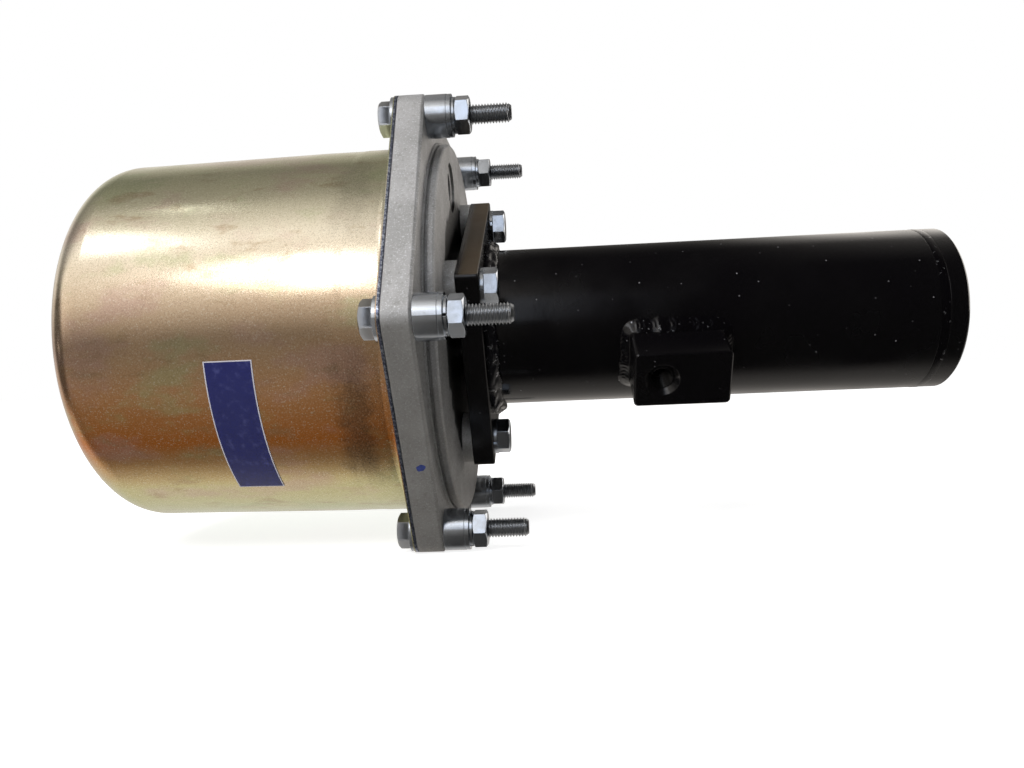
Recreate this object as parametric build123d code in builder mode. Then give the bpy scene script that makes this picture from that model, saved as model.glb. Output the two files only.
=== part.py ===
from build123d import *

import os
from math import cos, radians, sin, sqrt

# Air brake chamber, in millimetres. Air enters the closed end of a deep-drawn cup and drives a piston
# and push rod towards +X; a return spring inside the tube brings them back.
# +X runs along the chamber's axis towards the rod's exit, +Z is up, and the origin is on the axis in
# the plane of the six flange nuts' outer faces, where a carrier seats over the free bolt ends.

os.makedirs("parts", exist_ok=True)

# ---- driving dimensions -------------------------------------------------------------------------

# flange joint: six M8 bolts on one circle clamp the cup and the cover
BOLT_CIRCLE = 200.0
BOLT_COUNT = 6
BOLT_SPACING = 360 / BOLT_COUNT
FLANGE_CORNER_RADIUS = 9.2
M8_RADIUS = 4.0
M8_SHANK_RADIUS = 3.6
M8_CLEARANCE_RADIUS = 4.5
HEAD_HEIGHT = 5.5
HEAD_ACROSS_FLATS = 13.0
BOLT_LENGTH = 49.5
NUT_ACROSS_FLATS = 14.0
NUT_HEIGHT = 6.1
SPRING_WASHER_THICKNESS = 1.3
SPRING_WASHER_RADIUS = 7.4
HEAD_WASHER_THICKNESS = 1.5
FLAT_WASHER_THICKNESS = 1.9
FLAT_WASHER_RADIUS = 8.7
SLEEVE_LENGTH = 8.7
SLEEVE_RADIUS = 8.8
COVER_PLATE_THICKNESS = 11.3
COVER_PLATE_BEVEL = 1.0
JOINT_FACE_BEVEL = 0.4
CUP_FLANGE_THICKNESS = 1.5

# how far each head and nut was left turned, in degrees: the flange's from the +Y bolt on towards
# +Z, the tube's from the nearest -Y bolt on towards +Z
HEAD_TURNS = (15, -20, 3, -3, -8, 25)
NUT_TURNS = (10, -15, 0, -7, -27, 18)
TUBE_HEAD_TURNS = (-26, -27, -15, 18)

# cup
BORE_RADIUS = 80.0
CUP_DEPTH = 142.7
CUP_FLOOR_THICKNESS = 3.5
CUP_RADIUS_CLOSED = 83.0
CUP_RADIUS_MIDDLE = 84.6
CUP_RADIUS_OPEN = 84.8
CUP_TAPER_END_X = -70.0
CUP_STEP_START_X, CUP_STEP_END_X = -52.0, -49.0
CUP_CORNER_RADIUS = 17.2
CUP_INNER_CORNER_RADIUS = 13.5
CUP_FLARE_RADIUS = 5.0
LABEL_START_X, LABEL_END_X = -104.5, -85.2
LABEL_TOP_ANGLE, LABEL_BOTTOM_ANGLE = 8.3, 50.6
LABEL_THICKNESS = 0.3

# air inlet
INLET_THREAD_RADIUS = 8.33
INLET_PASSAGE_RADIUS = 5.0
INLET_BOSS_RADIUS = 17.0
INLET_BOSS_HEIGHT = 14.0
INLET_SPIGOT_RADIUS = 13.0
INLET_WELD_LEG = 4.0

# cover
SPIGOT_RADIUS = 79.9
SPIGOT_LENGTH = 16.0
SPIGOT_POCKET_RADIUS = 74.0
SEAL_GROOVE_RADIUS = 77.3
SEAL_GROOVE_WIDTH = 4.2
HUB_RADIUS = 24.0
HUB_LENGTH = 19.0
RIB_THICKNESS = 5.0
DISC_SHOULDER_RADIUS = 86.5
DISC_RADIUS = 85.6
DISC_HEIGHT = 5.0
DISC_GROOVE_START, DISC_GROOVE_END, DISC_GROOVE_RADIUS = 0.9, 2.0, 84.4
PAD_RADIUS = 11.5
PAD_HEIGHT = 4.9
PAD_CIRCLE = 106.0
PAD_ANGLE = 163.8
TAPPED_M8_RADIUS = 3.4
TAPPED_M8_DEPTH = 18.0
VENT_RADIUS = 6.58
VENT_FACE_RADIUS = 11.0
VENT_FACE_DEPTH = 1.2
VENT_DISTANCE = 66.6
VENT_ANGLE = 108.2

# tube, its flange and its cap
TUBE_RADIUS = 36.5
TUBE_BORE_RADIUS = 33.5
TUBE_END_X = 207.0
TUBE_FLANGE_SIDE = 94.7
TUBE_FLANGE_THICKNESS = 9.5
TUBE_FLANGE_CORNER_RADIUS = 2.0
TUBE_BOLT_LENGTH = 25.0
TUBE_BOLT_SHANK_RADIUS = 3.38
TUBE_HEAD_HEIGHT = 5.8
TUBE_HEAD_ACROSS_FLATS = 14.0
TUBE_WASHER_RADIUS = 8.0
TUBE_WASHER_THICKNESS = 1.7
TUBE_WELD_LEG = 6.0
CAP_THICKNESS = 10.0
CAP_PLUG_LENGTH = 10.0
CAP_HUB_LENGTH = 12.0
CAP_HUB_RADIUS = 20.0
SEAM_WIDTH = 4.0

# bracket block on the tube; its faces are square to the tube flange's sides
BRACKET_ANGLE = 208.8
BRACKET_FACE_DISTANCE = 57.0
BRACKET_START_X, BRACKET_END_X = 63.5, 103.7
BRACKET_HEIGHT = 24.8
BRACKET_HOLE_X = 75.2
BRACKET_THREAD_RADIUS = 5.0
BRACKET_THREAD_DEPTH = 15.0
BRACKET_SINK_RADIUS = 7.2
BRACKET_WELD_LEG = 5.5

# piston and push rod
STROKE = 80.0
ROD_RADIUS = 12.5
ROD_STUB_RADIUS = 10.0
RUNNING_CLEARANCE = 0.06
PISTON_RADIUS = 79.3
PISTON_BACK_X = -166.0
PISTON_LENGTH = 32.0
PISTON_WEB_BACK_X, PISTON_WEB_FRONT_X = -152.0, -140.0
PISTON_RIM_RADIUS = 64.0
PISTON_EDGE_BEVEL = 9.0
PISTON_SEAL_RADIUS = BORE_RADIUS - RUNNING_CLEARANCE
PISTON_GROOVE_RADIUS = 73.0
ROD_NUT_HEIGHT = 9.0
ROD_NUT_ACROSS_FLATS = 30.0
ROD_WASHER_THICKNESS = 3.0
ROD_WASHER_RADIUS = 18.5
ROD_END_RECESS = 2.0
ROD_END_THREAD_RADIUS = 7.0
ROD_END_THREAD_DEPTH = 25.0
BUSH_BORE_RADIUS = ROD_RADIUS + RUNNING_CLEARANCE
BUSH_RADIUS = 14.0
SEAT_START_X, SEAT_THICKNESS = 2.0, 6.0
SEAT_RADIUS = 32.6
SEAT_HUB_RADIUS, SEAT_HUB_LENGTH = 23.0, 8.0
SEAT_RING_THICKNESS = 2.0
SEAT_RING_RADIUS = 16.0
SEAT_RING_GROOVE_RADIUS = 11.3

# return spring
SPRING_MEAN_RADIUS = 28.0
SPRING_WIRE_RADIUS = 3.5
SPRING_TURNS = 9
SPRING_WIRE_SIDES = 8

# ---- places along the axis ----------------------------------------------------------------------

nut_face_x = 0.0
spring_washer_x = nut_face_x - NUT_HEIGHT - SPRING_WASHER_THICKNESS
flat_washer_x = spring_washer_x - FLAT_WASHER_THICKNESS
plate_front_x = flat_washer_x - SLEEVE_LENGTH
plate_back_x = plate_front_x - COVER_PLATE_THICKNESS
cup_flange_x = plate_back_x - CUP_FLANGE_THICKNESS
head_seat_x = cup_flange_x - HEAD_WASHER_THICKNESS
cup_closed_x = plate_back_x - CUP_DEPTH
cup_floor_x = cup_closed_x + CUP_FLOOR_THICKNESS
disc_front_x = plate_front_x + DISC_HEIGHT
pad_front_x = disc_front_x + PAD_HEIGHT
tube_flange_front_x = pad_front_x + TUBE_FLANGE_THICKNESS
tube_head_seat_x = tube_flange_front_x + TUBE_WASHER_THICKNESS
spigot_end_x = plate_back_x - SPIGOT_LENGTH
hub_end_x = plate_back_x - HUB_LENGTH
cap_back_x = TUBE_END_X - CAP_THICKNESS
plug_end_x = cap_back_x - CAP_PLUG_LENGTH
cap_hub_end_x = plug_end_x - CAP_HUB_LENGTH
seam_x = cap_back_x
seat_end_x = SEAT_START_X + SEAT_THICKNESS

print("cup closed end", cup_closed_x, "cover plate", plate_back_x, plate_front_x)
print("pads end", pad_front_x, "tube flange front", tube_flange_front_x, "tube end", TUBE_END_X)


# ---- shared profiles ----------------------------------------------------------------------------


def half_section(*points):
    """A closed profile in the XZ plane: X runs along the axis and Z is the radius."""
    with BuildSketch(Plane.XZ) as section:
        with BuildLine():
            Polyline(*points, close=True)
        make_face()
    return section.sketch


def ring(start, end, inner, outer):
    """The half section of a plain ring between two places on the axis."""
    return half_section((start, inner), (end, inner), (end, outer), (start, outer))


def across_corners(across_flats):
    """The radius of the circle through a hexagon's corners."""
    return across_flats / 2 / cos(radians(30))


def round_edges(shape, radius):
    """The circular edges of one radius."""
    return shape.edges().filter_by(GeomType.CIRCLE).filter_by(lambda edge: abs(edge.radius - radius) < 0.01)


def hexagonal_flange(x):
    """The rounded hexagon that the cup's flange and the cover share, flat side down."""
    with BuildSketch(Plane.YZ.offset(x)) as outline:
        RegularPolygon(BOLT_CIRCLE / 2 + across_corners(2 * FLANGE_CORNER_RADIUS), side_count=6)
        fillet(outline.vertices(), FLANGE_CORNER_RADIUS)
    return outline.sketch


def bolt_hole_circles(x, radius):
    """Six circles on the flange's bolt circle."""
    with BuildSketch(Plane.YZ.offset(x)) as circles:
        with PolarLocations(BOLT_CIRCLE / 2, BOLT_COUNT):
            Circle(radius)
    return circles.sketch


def pad_circles(x, radius):
    """Four circles on the tube flange's bolt circle."""
    with BuildSketch(Plane.YZ.offset(x)) as circles:
        with PolarLocations(PAD_CIRCLE / 2, 4, start_angle=PAD_ANGLE):
            Circle(radius)
    return circles.sketch


def vent_circle(x, radius):
    """One circle at the vent port's place."""
    with BuildSketch(Plane.YZ.offset(x)) as circle:
        with PolarLocations(VENT_DISTANCE, 1, start_angle=VENT_ANGLE):
            Circle(radius)
    return circle.sketch


def chamfered_barrel(bottom, top, radius, bevel):
    """A half section about Z that trims the corners off a hexagonal prism, 30 degrees to its face."""
    with BuildSketch(Plane.XZ) as section:
        with BuildLine():
            Polyline(
                (0, bottom),
                (radius - bevel, bottom),
                (radius, bottom + bevel / 2),
                (radius, top - bevel / 2),
                (radius - bevel, top),
                (0, top),
                close=True,
            )
        make_face()
    return section.sketch


def hexagon_bolt(across_flats, head_height, shank_radius, grip, end_radius, length):
    """One bolt along +Z with the underside of its head at z = 0: plain grip, then the free end."""
    corner_radius = across_corners(across_flats)
    bevel = corner_radius - across_flats / 2 + 0.3
    with BuildPart() as bolt:
        with BuildSketch(Plane.XY.offset(-head_height)):
            RegularPolygon(corner_radius, side_count=6, rotation=30)
        extrude(amount=head_height)
        head_barrel = chamfered_barrel(-head_height, head_height, corner_radius, bevel)
        revolve(head_barrel, axis=Axis.Z, mode=Mode.INTERSECT)
        with BuildSketch():
            Circle(shank_radius)
        extrude(amount=grip)
        with BuildSketch(Plane.XY.offset(grip)):
            Circle(end_radius)
        extrude(amount=length - grip)
        chamfer(bolt.edges().group_by(Axis.Z)[-1], 0.8)
    return bolt.part


# ---- cup, inlet and label -----------------------------------------------------------------------

with BuildPart() as cylinder_cup:
    revolve(
        half_section(
            (cup_closed_x, 0),
            (cup_closed_x, CUP_RADIUS_CLOSED),
            (CUP_TAPER_END_X, CUP_RADIUS_MIDDLE),
            (CUP_STEP_START_X, CUP_RADIUS_MIDDLE),
            (CUP_STEP_END_X, CUP_RADIUS_OPEN),
            (cup_flange_x, CUP_RADIUS_OPEN),
            (cup_flange_x, 0),
        ),
        axis=Axis.X,
    )
    fillet(cylinder_cup.edges().group_by(Axis.X)[0], CUP_CORNER_RADIUS)
    extrude(hexagonal_flange(cup_flange_x), amount=CUP_FLANGE_THICKNESS)
    flare_edge = round_edges(cylinder_cup, CUP_RADIUS_OPEN).sort_by(Axis.X)[-1]
    fillet(flare_edge, CUP_FLARE_RADIUS)
    cup_holes = bolt_hole_circles(cup_flange_x, M8_CLEARANCE_RADIUS)
    extrude(cup_holes, amount=CUP_FLANGE_THICKNESS, mode=Mode.SUBTRACT)
    revolve(ring(cup_closed_x, cup_floor_x, 0, INLET_SPIGOT_RADIUS), axis=Axis.X, mode=Mode.SUBTRACT)
    with BuildSketch(Plane.XZ) as cup_hollow:
        with BuildLine():
            Polyline(
                (cup_floor_x, 0),
                (cup_floor_x, BORE_RADIUS),
                (plate_back_x, BORE_RADIUS),
                (plate_back_x, 0),
                close=True,
            )
        make_face()
        fillet(cup_hollow.vertices().group_by(Axis.X)[0].sort_by(Axis.Y)[-1], CUP_INNER_CORNER_RADIUS)
    revolve(axis=Axis.X, mode=Mode.SUBTRACT)
cylinder_cup.part.label = "cylinder_cup"
export_step(cylinder_cup.part, "parts/cylinder_cup.step")

boss_mouth_x = cup_closed_x - INLET_BOSS_HEIGHT
with BuildPart() as inlet_boss:
    revolve(ring(boss_mouth_x, cup_closed_x, 0, INLET_BOSS_RADIUS), axis=Axis.X)
    chamfer(inlet_boss.edges().group_by(Axis.X)[0], 1.5)
    revolve(ring(cup_closed_x, cup_floor_x, 0, INLET_SPIGOT_RADIUS), axis=Axis.X)
    revolve(ring(boss_mouth_x, cup_closed_x, 0, INLET_THREAD_RADIUS), axis=Axis.X, mode=Mode.SUBTRACT)
    revolve(ring(cup_closed_x, cup_floor_x, 0, INLET_PASSAGE_RADIUS), axis=Axis.X, mode=Mode.SUBTRACT)
inlet_boss.part.label = "inlet_boss"
export_step(inlet_boss.part, "parts/inlet_boss.step")

with BuildPart() as inlet_weld:
    revolve(
        half_section(
            (cup_closed_x, INLET_BOSS_RADIUS),
            (cup_closed_x - INLET_WELD_LEG, INLET_BOSS_RADIUS),
            (cup_closed_x, INLET_BOSS_RADIUS + INLET_WELD_LEG),
        ),
        axis=Axis.X,
    )
inlet_weld.part.label = "inlet_weld"
export_step(inlet_weld.part, "parts/inlet_weld.step")


def cup_wall_radius(x):
    """The cup's outer radius on its long tapered stretch."""
    share = (x - cup_closed_x) / (CUP_TAPER_END_X - cup_closed_x)
    return CUP_RADIUS_CLOSED + share * (CUP_RADIUS_MIDDLE - CUP_RADIUS_CLOSED)


label_edge = radians(LABEL_TOP_ANGLE)
label_plane = Plane(origin=(0, 0, 0), x_dir=(1, 0, 0), z_dir=(0, sin(label_edge), -cos(label_edge)))
with BuildPart() as label:
    with BuildSketch(label_plane):
        with BuildLine():
            Polyline(
                (LABEL_START_X, cup_wall_radius(LABEL_START_X)),
                (LABEL_END_X, cup_wall_radius(LABEL_END_X)),
                (LABEL_END_X, cup_wall_radius(LABEL_END_X) + LABEL_THICKNESS),
                (LABEL_START_X, cup_wall_radius(LABEL_START_X) + LABEL_THICKNESS),
                close=True,
            )
        make_face()
    revolve(axis=Axis.X, revolution_arc=LABEL_BOTTOM_ANGLE - LABEL_TOP_ANGLE)
label.part.label = "label"
export_step(label.part, "parts/label.step")

# ---- flange fasteners ---------------------------------------------------------------------------

flange_bolt = hexagon_bolt(
    HEAD_ACROSS_FLATS, HEAD_HEIGHT, M8_SHANK_RADIUS, nut_face_x - head_seat_x, M8_RADIUS, BOLT_LENGTH
)
with BuildPart(Plane.YZ.offset(head_seat_x)) as flange_bolts:
    for place, turn in enumerate(HEAD_TURNS):
        with PolarLocations(BOLT_CIRCLE / 2, 1, start_angle=place * BOLT_SPACING, rotate=False):
            add(flange_bolt, rotation=(0, 0, turn))
flange_bolts.part.label = "flange_bolts"
export_step(flange_bolts.part, "parts/flange_bolts.step")


def washer_set(x, thickness, inner, outer):
    """Six plain rings of one size on the flange bolts."""
    with BuildPart() as washers:
        extrude(bolt_hole_circles(x, outer), amount=thickness)
        extrude(bolt_hole_circles(x, inner), amount=thickness, mode=Mode.SUBTRACT)
    return washers


bolt_head_washers = washer_set(head_seat_x, HEAD_WASHER_THICKNESS, M8_CLEARANCE_RADIUS, FLAT_WASHER_RADIUS)
bolt_head_washers.part.label = "bolt_head_washers"
export_step(bolt_head_washers.part, "parts/bolt_head_washers.step")

spacer_sleeves = washer_set(plate_front_x, SLEEVE_LENGTH, M8_CLEARANCE_RADIUS, SLEEVE_RADIUS)
spacer_sleeves.part.label = "spacer_sleeves"
export_step(spacer_sleeves.part, "parts/spacer_sleeves.step")

flat_washers = washer_set(flat_washer_x, FLAT_WASHER_THICKNESS, M8_CLEARANCE_RADIUS, FLAT_WASHER_RADIUS)
flat_washers.part.label = "flat_washers"
export_step(flat_washers.part, "parts/flat_washers.step")

SPLIT_WIDTH = 1.0
with BuildPart() as spring_washers:
    extrude(bolt_hole_circles(spring_washer_x, SPRING_WASHER_RADIUS), amount=SPRING_WASHER_THICKNESS)
    extrude(
        bolt_hole_circles(spring_washer_x, M8_RADIUS), amount=SPRING_WASHER_THICKNESS, mode=Mode.SUBTRACT
    )
    with BuildSketch(Plane.YZ.offset(spring_washer_x)):
        with PolarLocations(BOLT_CIRCLE / 2 + SPRING_WASHER_RADIUS / 2, BOLT_COUNT):
            Rectangle(SPRING_WASHER_RADIUS, SPLIT_WIDTH)
    extrude(amount=SPRING_WASHER_THICKNESS, mode=Mode.SUBTRACT)
spring_washers.part.label = "spring_washers"
export_step(spring_washers.part, "parts/spring_washers.step")

nut_corner_radius = across_corners(NUT_ACROSS_FLATS)
nut_bevel = nut_corner_radius - NUT_ACROSS_FLATS / 2 + 0.3
with BuildPart() as flange_nut:
    with BuildSketch():
        RegularPolygon(nut_corner_radius, side_count=6, rotation=30)
    extrude(amount=NUT_HEIGHT)
    revolve(chamfered_barrel(0, NUT_HEIGHT, nut_corner_radius, nut_bevel), axis=Axis.Z, mode=Mode.INTERSECT)
    with BuildSketch():
        Circle(M8_SHANK_RADIUS)
    extrude(amount=NUT_HEIGHT, mode=Mode.SUBTRACT)
with BuildPart(Plane.YZ.offset(nut_face_x - NUT_HEIGHT)) as flange_nuts:
    for place, turn in enumerate(NUT_TURNS):
        with PolarLocations(BOLT_CIRCLE / 2, 1, start_angle=place * BOLT_SPACING, rotate=False):
            add(flange_nut.part, rotation=(0, 0, turn))
flange_nuts.part.label = "flange_nuts"
export_step(flange_nuts.part, "parts/flange_nuts.step")

# ---- cast cover ---------------------------------------------------------------------------------

with BuildPart() as end_cover:
    extrude(hexagonal_flange(plate_back_x), amount=COVER_PLATE_THICKNESS)
    chamfer(end_cover.faces().sort_by(Axis.X)[0].edges(), JOINT_FACE_BEVEL)
    chamfer(end_cover.faces().sort_by(Axis.X)[-1].edges(), COVER_PLATE_BEVEL)
    # raised disc with the narrow groove round its foot
    revolve(
        half_section(
            (plate_front_x, 0),
            (plate_front_x, DISC_SHOULDER_RADIUS),
            (plate_front_x + DISC_GROOVE_START, DISC_SHOULDER_RADIUS),
            (plate_front_x + DISC_GROOVE_START, DISC_GROOVE_RADIUS),
            (plate_front_x + DISC_GROOVE_END, DISC_GROOVE_RADIUS),
            (plate_front_x + DISC_GROOVE_END, DISC_RADIUS),
            (disc_front_x - 0.8, DISC_RADIUS),
            (disc_front_x, DISC_RADIUS - 0.8),
            (disc_front_x, 0),
        ),
        axis=Axis.X,
    )
    extrude(pad_circles(disc_front_x, PAD_RADIUS), amount=PAD_HEIGHT)
    # spigot into the cup, hollow between its wall and the hub, with ribs across the hollow
    revolve(ring(spigot_end_x, plate_back_x, SPIGOT_POCKET_RADIUS, SPIGOT_RADIUS), axis=Axis.X)
    revolve(ring(hub_end_x, plate_back_x, BUSH_RADIUS, HUB_RADIUS), axis=Axis.X)
    rib_length = SPIGOT_POCKET_RADIUS - HUB_RADIUS + 4
    with BuildSketch(Plane.YZ.offset(spigot_end_x + 2)):
        with PolarLocations((SPIGOT_POCKET_RADIUS + HUB_RADIUS) / 2, 6):
            Rectangle(rib_length, RIB_THICKNESS)
    extrude(amount=SPIGOT_LENGTH - 2)
    groove_start_x = plate_back_x - SPIGOT_LENGTH / 2 - SEAL_GROOVE_WIDTH / 2
    revolve(
        ring(groove_start_x, groove_start_x + SEAL_GROOVE_WIDTH, SEAL_GROOVE_RADIUS, SPIGOT_RADIUS + 1),
        axis=Axis.X,
        mode=Mode.SUBTRACT,
    )
    # holes: rod bush, flange bolts, tapped pads and the vent with its spot face
    revolve(ring(hub_end_x, disc_front_x, 0, BUSH_RADIUS), axis=Axis.X, mode=Mode.SUBTRACT)
    cover_holes = bolt_hole_circles(plate_back_x, M8_CLEARANCE_RADIUS)
    extrude(cover_holes, amount=COVER_PLATE_THICKNESS, mode=Mode.SUBTRACT)
    tapped_holes = pad_circles(pad_front_x - TAPPED_M8_DEPTH, TAPPED_M8_RADIUS)
    extrude(tapped_holes, amount=TAPPED_M8_DEPTH, mode=Mode.SUBTRACT)
    spot_face = vent_circle(disc_front_x - VENT_FACE_DEPTH, VENT_FACE_RADIUS)
    extrude(spot_face, amount=VENT_FACE_DEPTH, mode=Mode.SUBTRACT)
    vent_hole = vent_circle(plate_back_x, VENT_RADIUS)
    extrude(vent_hole, amount=COVER_PLATE_THICKNESS + DISC_HEIGHT, mode=Mode.SUBTRACT)
end_cover.part.label = "end_cover"
export_step(end_cover.part, "parts/end_cover.step")

with BuildPart() as cover_seal:
    seal_end_x = groove_start_x + SEAL_GROOVE_WIDTH - 0.3
    revolve(ring(groove_start_x + 0.3, seal_end_x, SEAL_GROOVE_RADIUS, BORE_RADIUS), axis=Axis.X)
    chamfer(cover_seal.edges(), 0.7)
cover_seal.part.label = "cover_seal"
export_step(cover_seal.part, "parts/cover_seal.step")

with BuildPart() as rod_bush:
    revolve(ring(hub_end_x + 2, disc_front_x - 2, BUSH_BORE_RADIUS, BUSH_RADIUS), axis=Axis.X)
rod_bush.part.label = "rod_bush"
export_step(rod_bush.part, "parts/rod_bush.step")

# ---- tube, its square flange and its cap --------------------------------------------------------

with BuildPart() as tube_flange:
    with BuildSketch(Plane.YZ.offset(pad_front_x)) as flange_outline:
        Rectangle(TUBE_FLANGE_SIDE, TUBE_FLANGE_SIDE, rotation=PAD_ANGLE - 45)
        fillet(flange_outline.vertices(), TUBE_FLANGE_CORNER_RADIUS)
    extrude(amount=TUBE_FLANGE_THICKNESS)
    chamfer(tube_flange.faces().sort_by(Axis.X)[-1].edges(), 0.5)
    revolve(ring(pad_front_x, tube_flange_front_x, 0, TUBE_RADIUS), axis=Axis.X, mode=Mode.SUBTRACT)
    flange_holes = pad_circles(pad_front_x, M8_CLEARANCE_RADIUS)
    extrude(flange_holes, amount=TUBE_FLANGE_THICKNESS, mode=Mode.SUBTRACT)
tube_flange.part.label = "tube_flange"
export_step(tube_flange.part, "parts/tube_flange.step")

with BuildPart() as spring_tube:
    revolve(ring(pad_front_x, seam_x, TUBE_BORE_RADIUS, TUBE_RADIUS), axis=Axis.X)
    chamfer(round_edges(spring_tube, TUBE_RADIUS).sort_by(Axis.X)[-1], SEAM_WIDTH / 2 - 0.1)
spring_tube.part.label = "spring_tube"
export_step(spring_tube.part, "parts/spring_tube.step")

with BuildPart() as tube_flange_weld:
    revolve(
        half_section(
            (tube_flange_front_x, TUBE_RADIUS),
            (tube_flange_front_x + TUBE_WELD_LEG, TUBE_RADIUS),
            (tube_flange_front_x + 0.55 * TUBE_WELD_LEG, TUBE_RADIUS + 0.55 * TUBE_WELD_LEG),
            (tube_flange_front_x, TUBE_RADIUS + TUBE_WELD_LEG),
        ),
        axis=Axis.X,
    )
tube_flange_weld.part.label = "tube_flange_weld"
export_step(tube_flange_weld.part, "parts/tube_flange_weld.step")

tube_bolt = hexagon_bolt(
    TUBE_HEAD_ACROSS_FLATS,
    TUBE_HEAD_HEIGHT,
    TUBE_BOLT_SHANK_RADIUS,
    TUBE_BOLT_LENGTH / 2,
    TUBE_BOLT_SHANK_RADIUS,
    TUBE_BOLT_LENGTH,
)
with BuildPart(Plane.ZY.offset(-tube_head_seat_x)) as tube_flange_bolts:
    for place, turn in enumerate(TUBE_HEAD_TURNS):
        with PolarLocations(PAD_CIRCLE / 2, 1, start_angle=90 - PAD_ANGLE + 90 * place, rotate=False):
            add(tube_bolt, rotation=(0, 0, turn))
tube_flange_bolts.part.label = "tube_flange_bolts"
export_step(tube_flange_bolts.part, "parts/tube_flange_bolts.step")

with BuildPart() as tube_flange_washers:
    extrude(pad_circles(tube_flange_front_x, TUBE_WASHER_RADIUS), amount=TUBE_WASHER_THICKNESS)
    washer_holes = pad_circles(tube_flange_front_x, M8_CLEARANCE_RADIUS)
    extrude(washer_holes, amount=TUBE_WASHER_THICKNESS, mode=Mode.SUBTRACT)
tube_flange_washers.part.label = "tube_flange_washers"
export_step(tube_flange_washers.part, "parts/tube_flange_washers.step")

WIPER_RADIUS, WIPER_LENGTH, WIPER_LIP = 18.0, 5.0, 1.5
wiper_start_x = TUBE_END_X - WIPER_LENGTH - WIPER_LIP
with BuildPart() as tube_end_cap:
    revolve(
        half_section(
            (cap_hub_end_x, BUSH_RADIUS),
            (cap_hub_end_x, CAP_HUB_RADIUS),
            (plug_end_x, CAP_HUB_RADIUS),
            (plug_end_x, TUBE_BORE_RADIUS),
            (cap_back_x, TUBE_BORE_RADIUS),
            (cap_back_x, TUBE_RADIUS),
            (TUBE_END_X, TUBE_RADIUS),
            (TUBE_END_X, WIPER_RADIUS),
            (wiper_start_x, WIPER_RADIUS),
            (wiper_start_x, BUSH_RADIUS),
        ),
        axis=Axis.X,
    )
    chamfer(round_edges(tube_end_cap, TUBE_RADIUS).sort_by(Axis.X)[0], SEAM_WIDTH / 2 - 0.1)
    chamfer(round_edges(tube_end_cap, TUBE_RADIUS).sort_by(Axis.X)[-1], 1.0)
tube_end_cap.part.label = "tube_end_cap"
export_step(tube_end_cap.part, "parts/tube_end_cap.step")

half_seam = SEAM_WIDTH / 2 - 0.1
with BuildPart() as end_cap_weld:
    revolve(
        half_section(
            (seam_x, TUBE_RADIUS - half_seam),
            (seam_x + half_seam, TUBE_RADIUS),
            (seam_x + half_seam / 2, TUBE_RADIUS + 0.2),
            (seam_x - half_seam / 2, TUBE_RADIUS + 0.2),
            (seam_x - half_seam, TUBE_RADIUS),
        ),
        axis=Axis.X,
    )
end_cap_weld.part.label = "end_cap_weld"
export_step(end_cap_weld.part, "parts/end_cap_weld.step")

with BuildPart() as end_bush:
    revolve(ring(cap_hub_end_x + 2, wiper_start_x, BUSH_BORE_RADIUS, BUSH_RADIUS), axis=Axis.X)
end_bush.part.label = "end_bush"
export_step(end_bush.part, "parts/end_bush.step")

with BuildPart() as wiper_ring:
    revolve(
        half_section(
            (wiper_start_x, BUSH_BORE_RADIUS),
            (wiper_start_x + 2, ROD_RADIUS + 1),
            (wiper_start_x + 3, ROD_RADIUS + 1),
            (TUBE_END_X - WIPER_LIP, BUSH_BORE_RADIUS),
            (TUBE_END_X, ROD_RADIUS + 1),
            (TUBE_END_X - WIPER_LIP, WIPER_RADIUS),
            (wiper_start_x, WIPER_RADIUS),
        ),
        axis=Axis.X,
    )
wiper_ring.part.label = "wiper_ring"
export_step(wiper_ring.part, "parts/wiper_ring.step")

# ---- bracket ------------------------------------------------------------------------------------

bracket_out = Vector(0, cos(radians(BRACKET_ANGLE)), sin(radians(BRACKET_ANGLE)))
bracket_middle_x = (BRACKET_START_X + BRACKET_END_X) / 2
bracket_length = BRACKET_END_X - BRACKET_START_X
bracket_foot_distance = sqrt(TUBE_RADIUS**2 - (BRACKET_HEIGHT / 2) ** 2)


def bracket_plane(distance):
    """A plane across the bracket at a distance from the chamber's axis, x along the chamber."""
    return Plane(
        origin=bracket_out * distance + Vector(bracket_middle_x, 0, 0), x_dir=(1, 0, 0), z_dir=bracket_out
    )


with BuildPart() as bracket:
    with BuildSketch(bracket_plane(BRACKET_FACE_DISTANCE)) as bracket_face:
        Rectangle(bracket_length, BRACKET_HEIGHT)
    extrude(amount=-(BRACKET_FACE_DISTANCE - bracket_foot_distance + 6))
    fillet(bracket.edges().filter_by(Axis((0, 0, 0), bracket_out)), 2.0)
    front_face = bracket.faces().sort_by(Axis((0, 0, 0), bracket_out))[-1]
    chamfer(front_face.edges(), 0.6)
    with BuildSketch(bracket_plane(BRACKET_FACE_DISTANCE)):
        with Locations((BRACKET_HOLE_X - bracket_middle_x, 0)):
            Circle(BRACKET_THREAD_RADIUS)
    extrude(amount=-BRACKET_THREAD_DEPTH, mode=Mode.SUBTRACT)
    hole_mouth = round_edges(bracket, BRACKET_THREAD_RADIUS).sort_by(Axis.Y)[0]
    chamfer(hole_mouth, BRACKET_SINK_RADIUS - BRACKET_THREAD_RADIUS)
    revolve(ring(BRACKET_START_X - 1, BRACKET_END_X + 1, 0, TUBE_RADIUS), axis=Axis.X, mode=Mode.SUBTRACT)
bracket.part.label = "bracket"
export_step(bracket.part, "parts/bracket.step")

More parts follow.
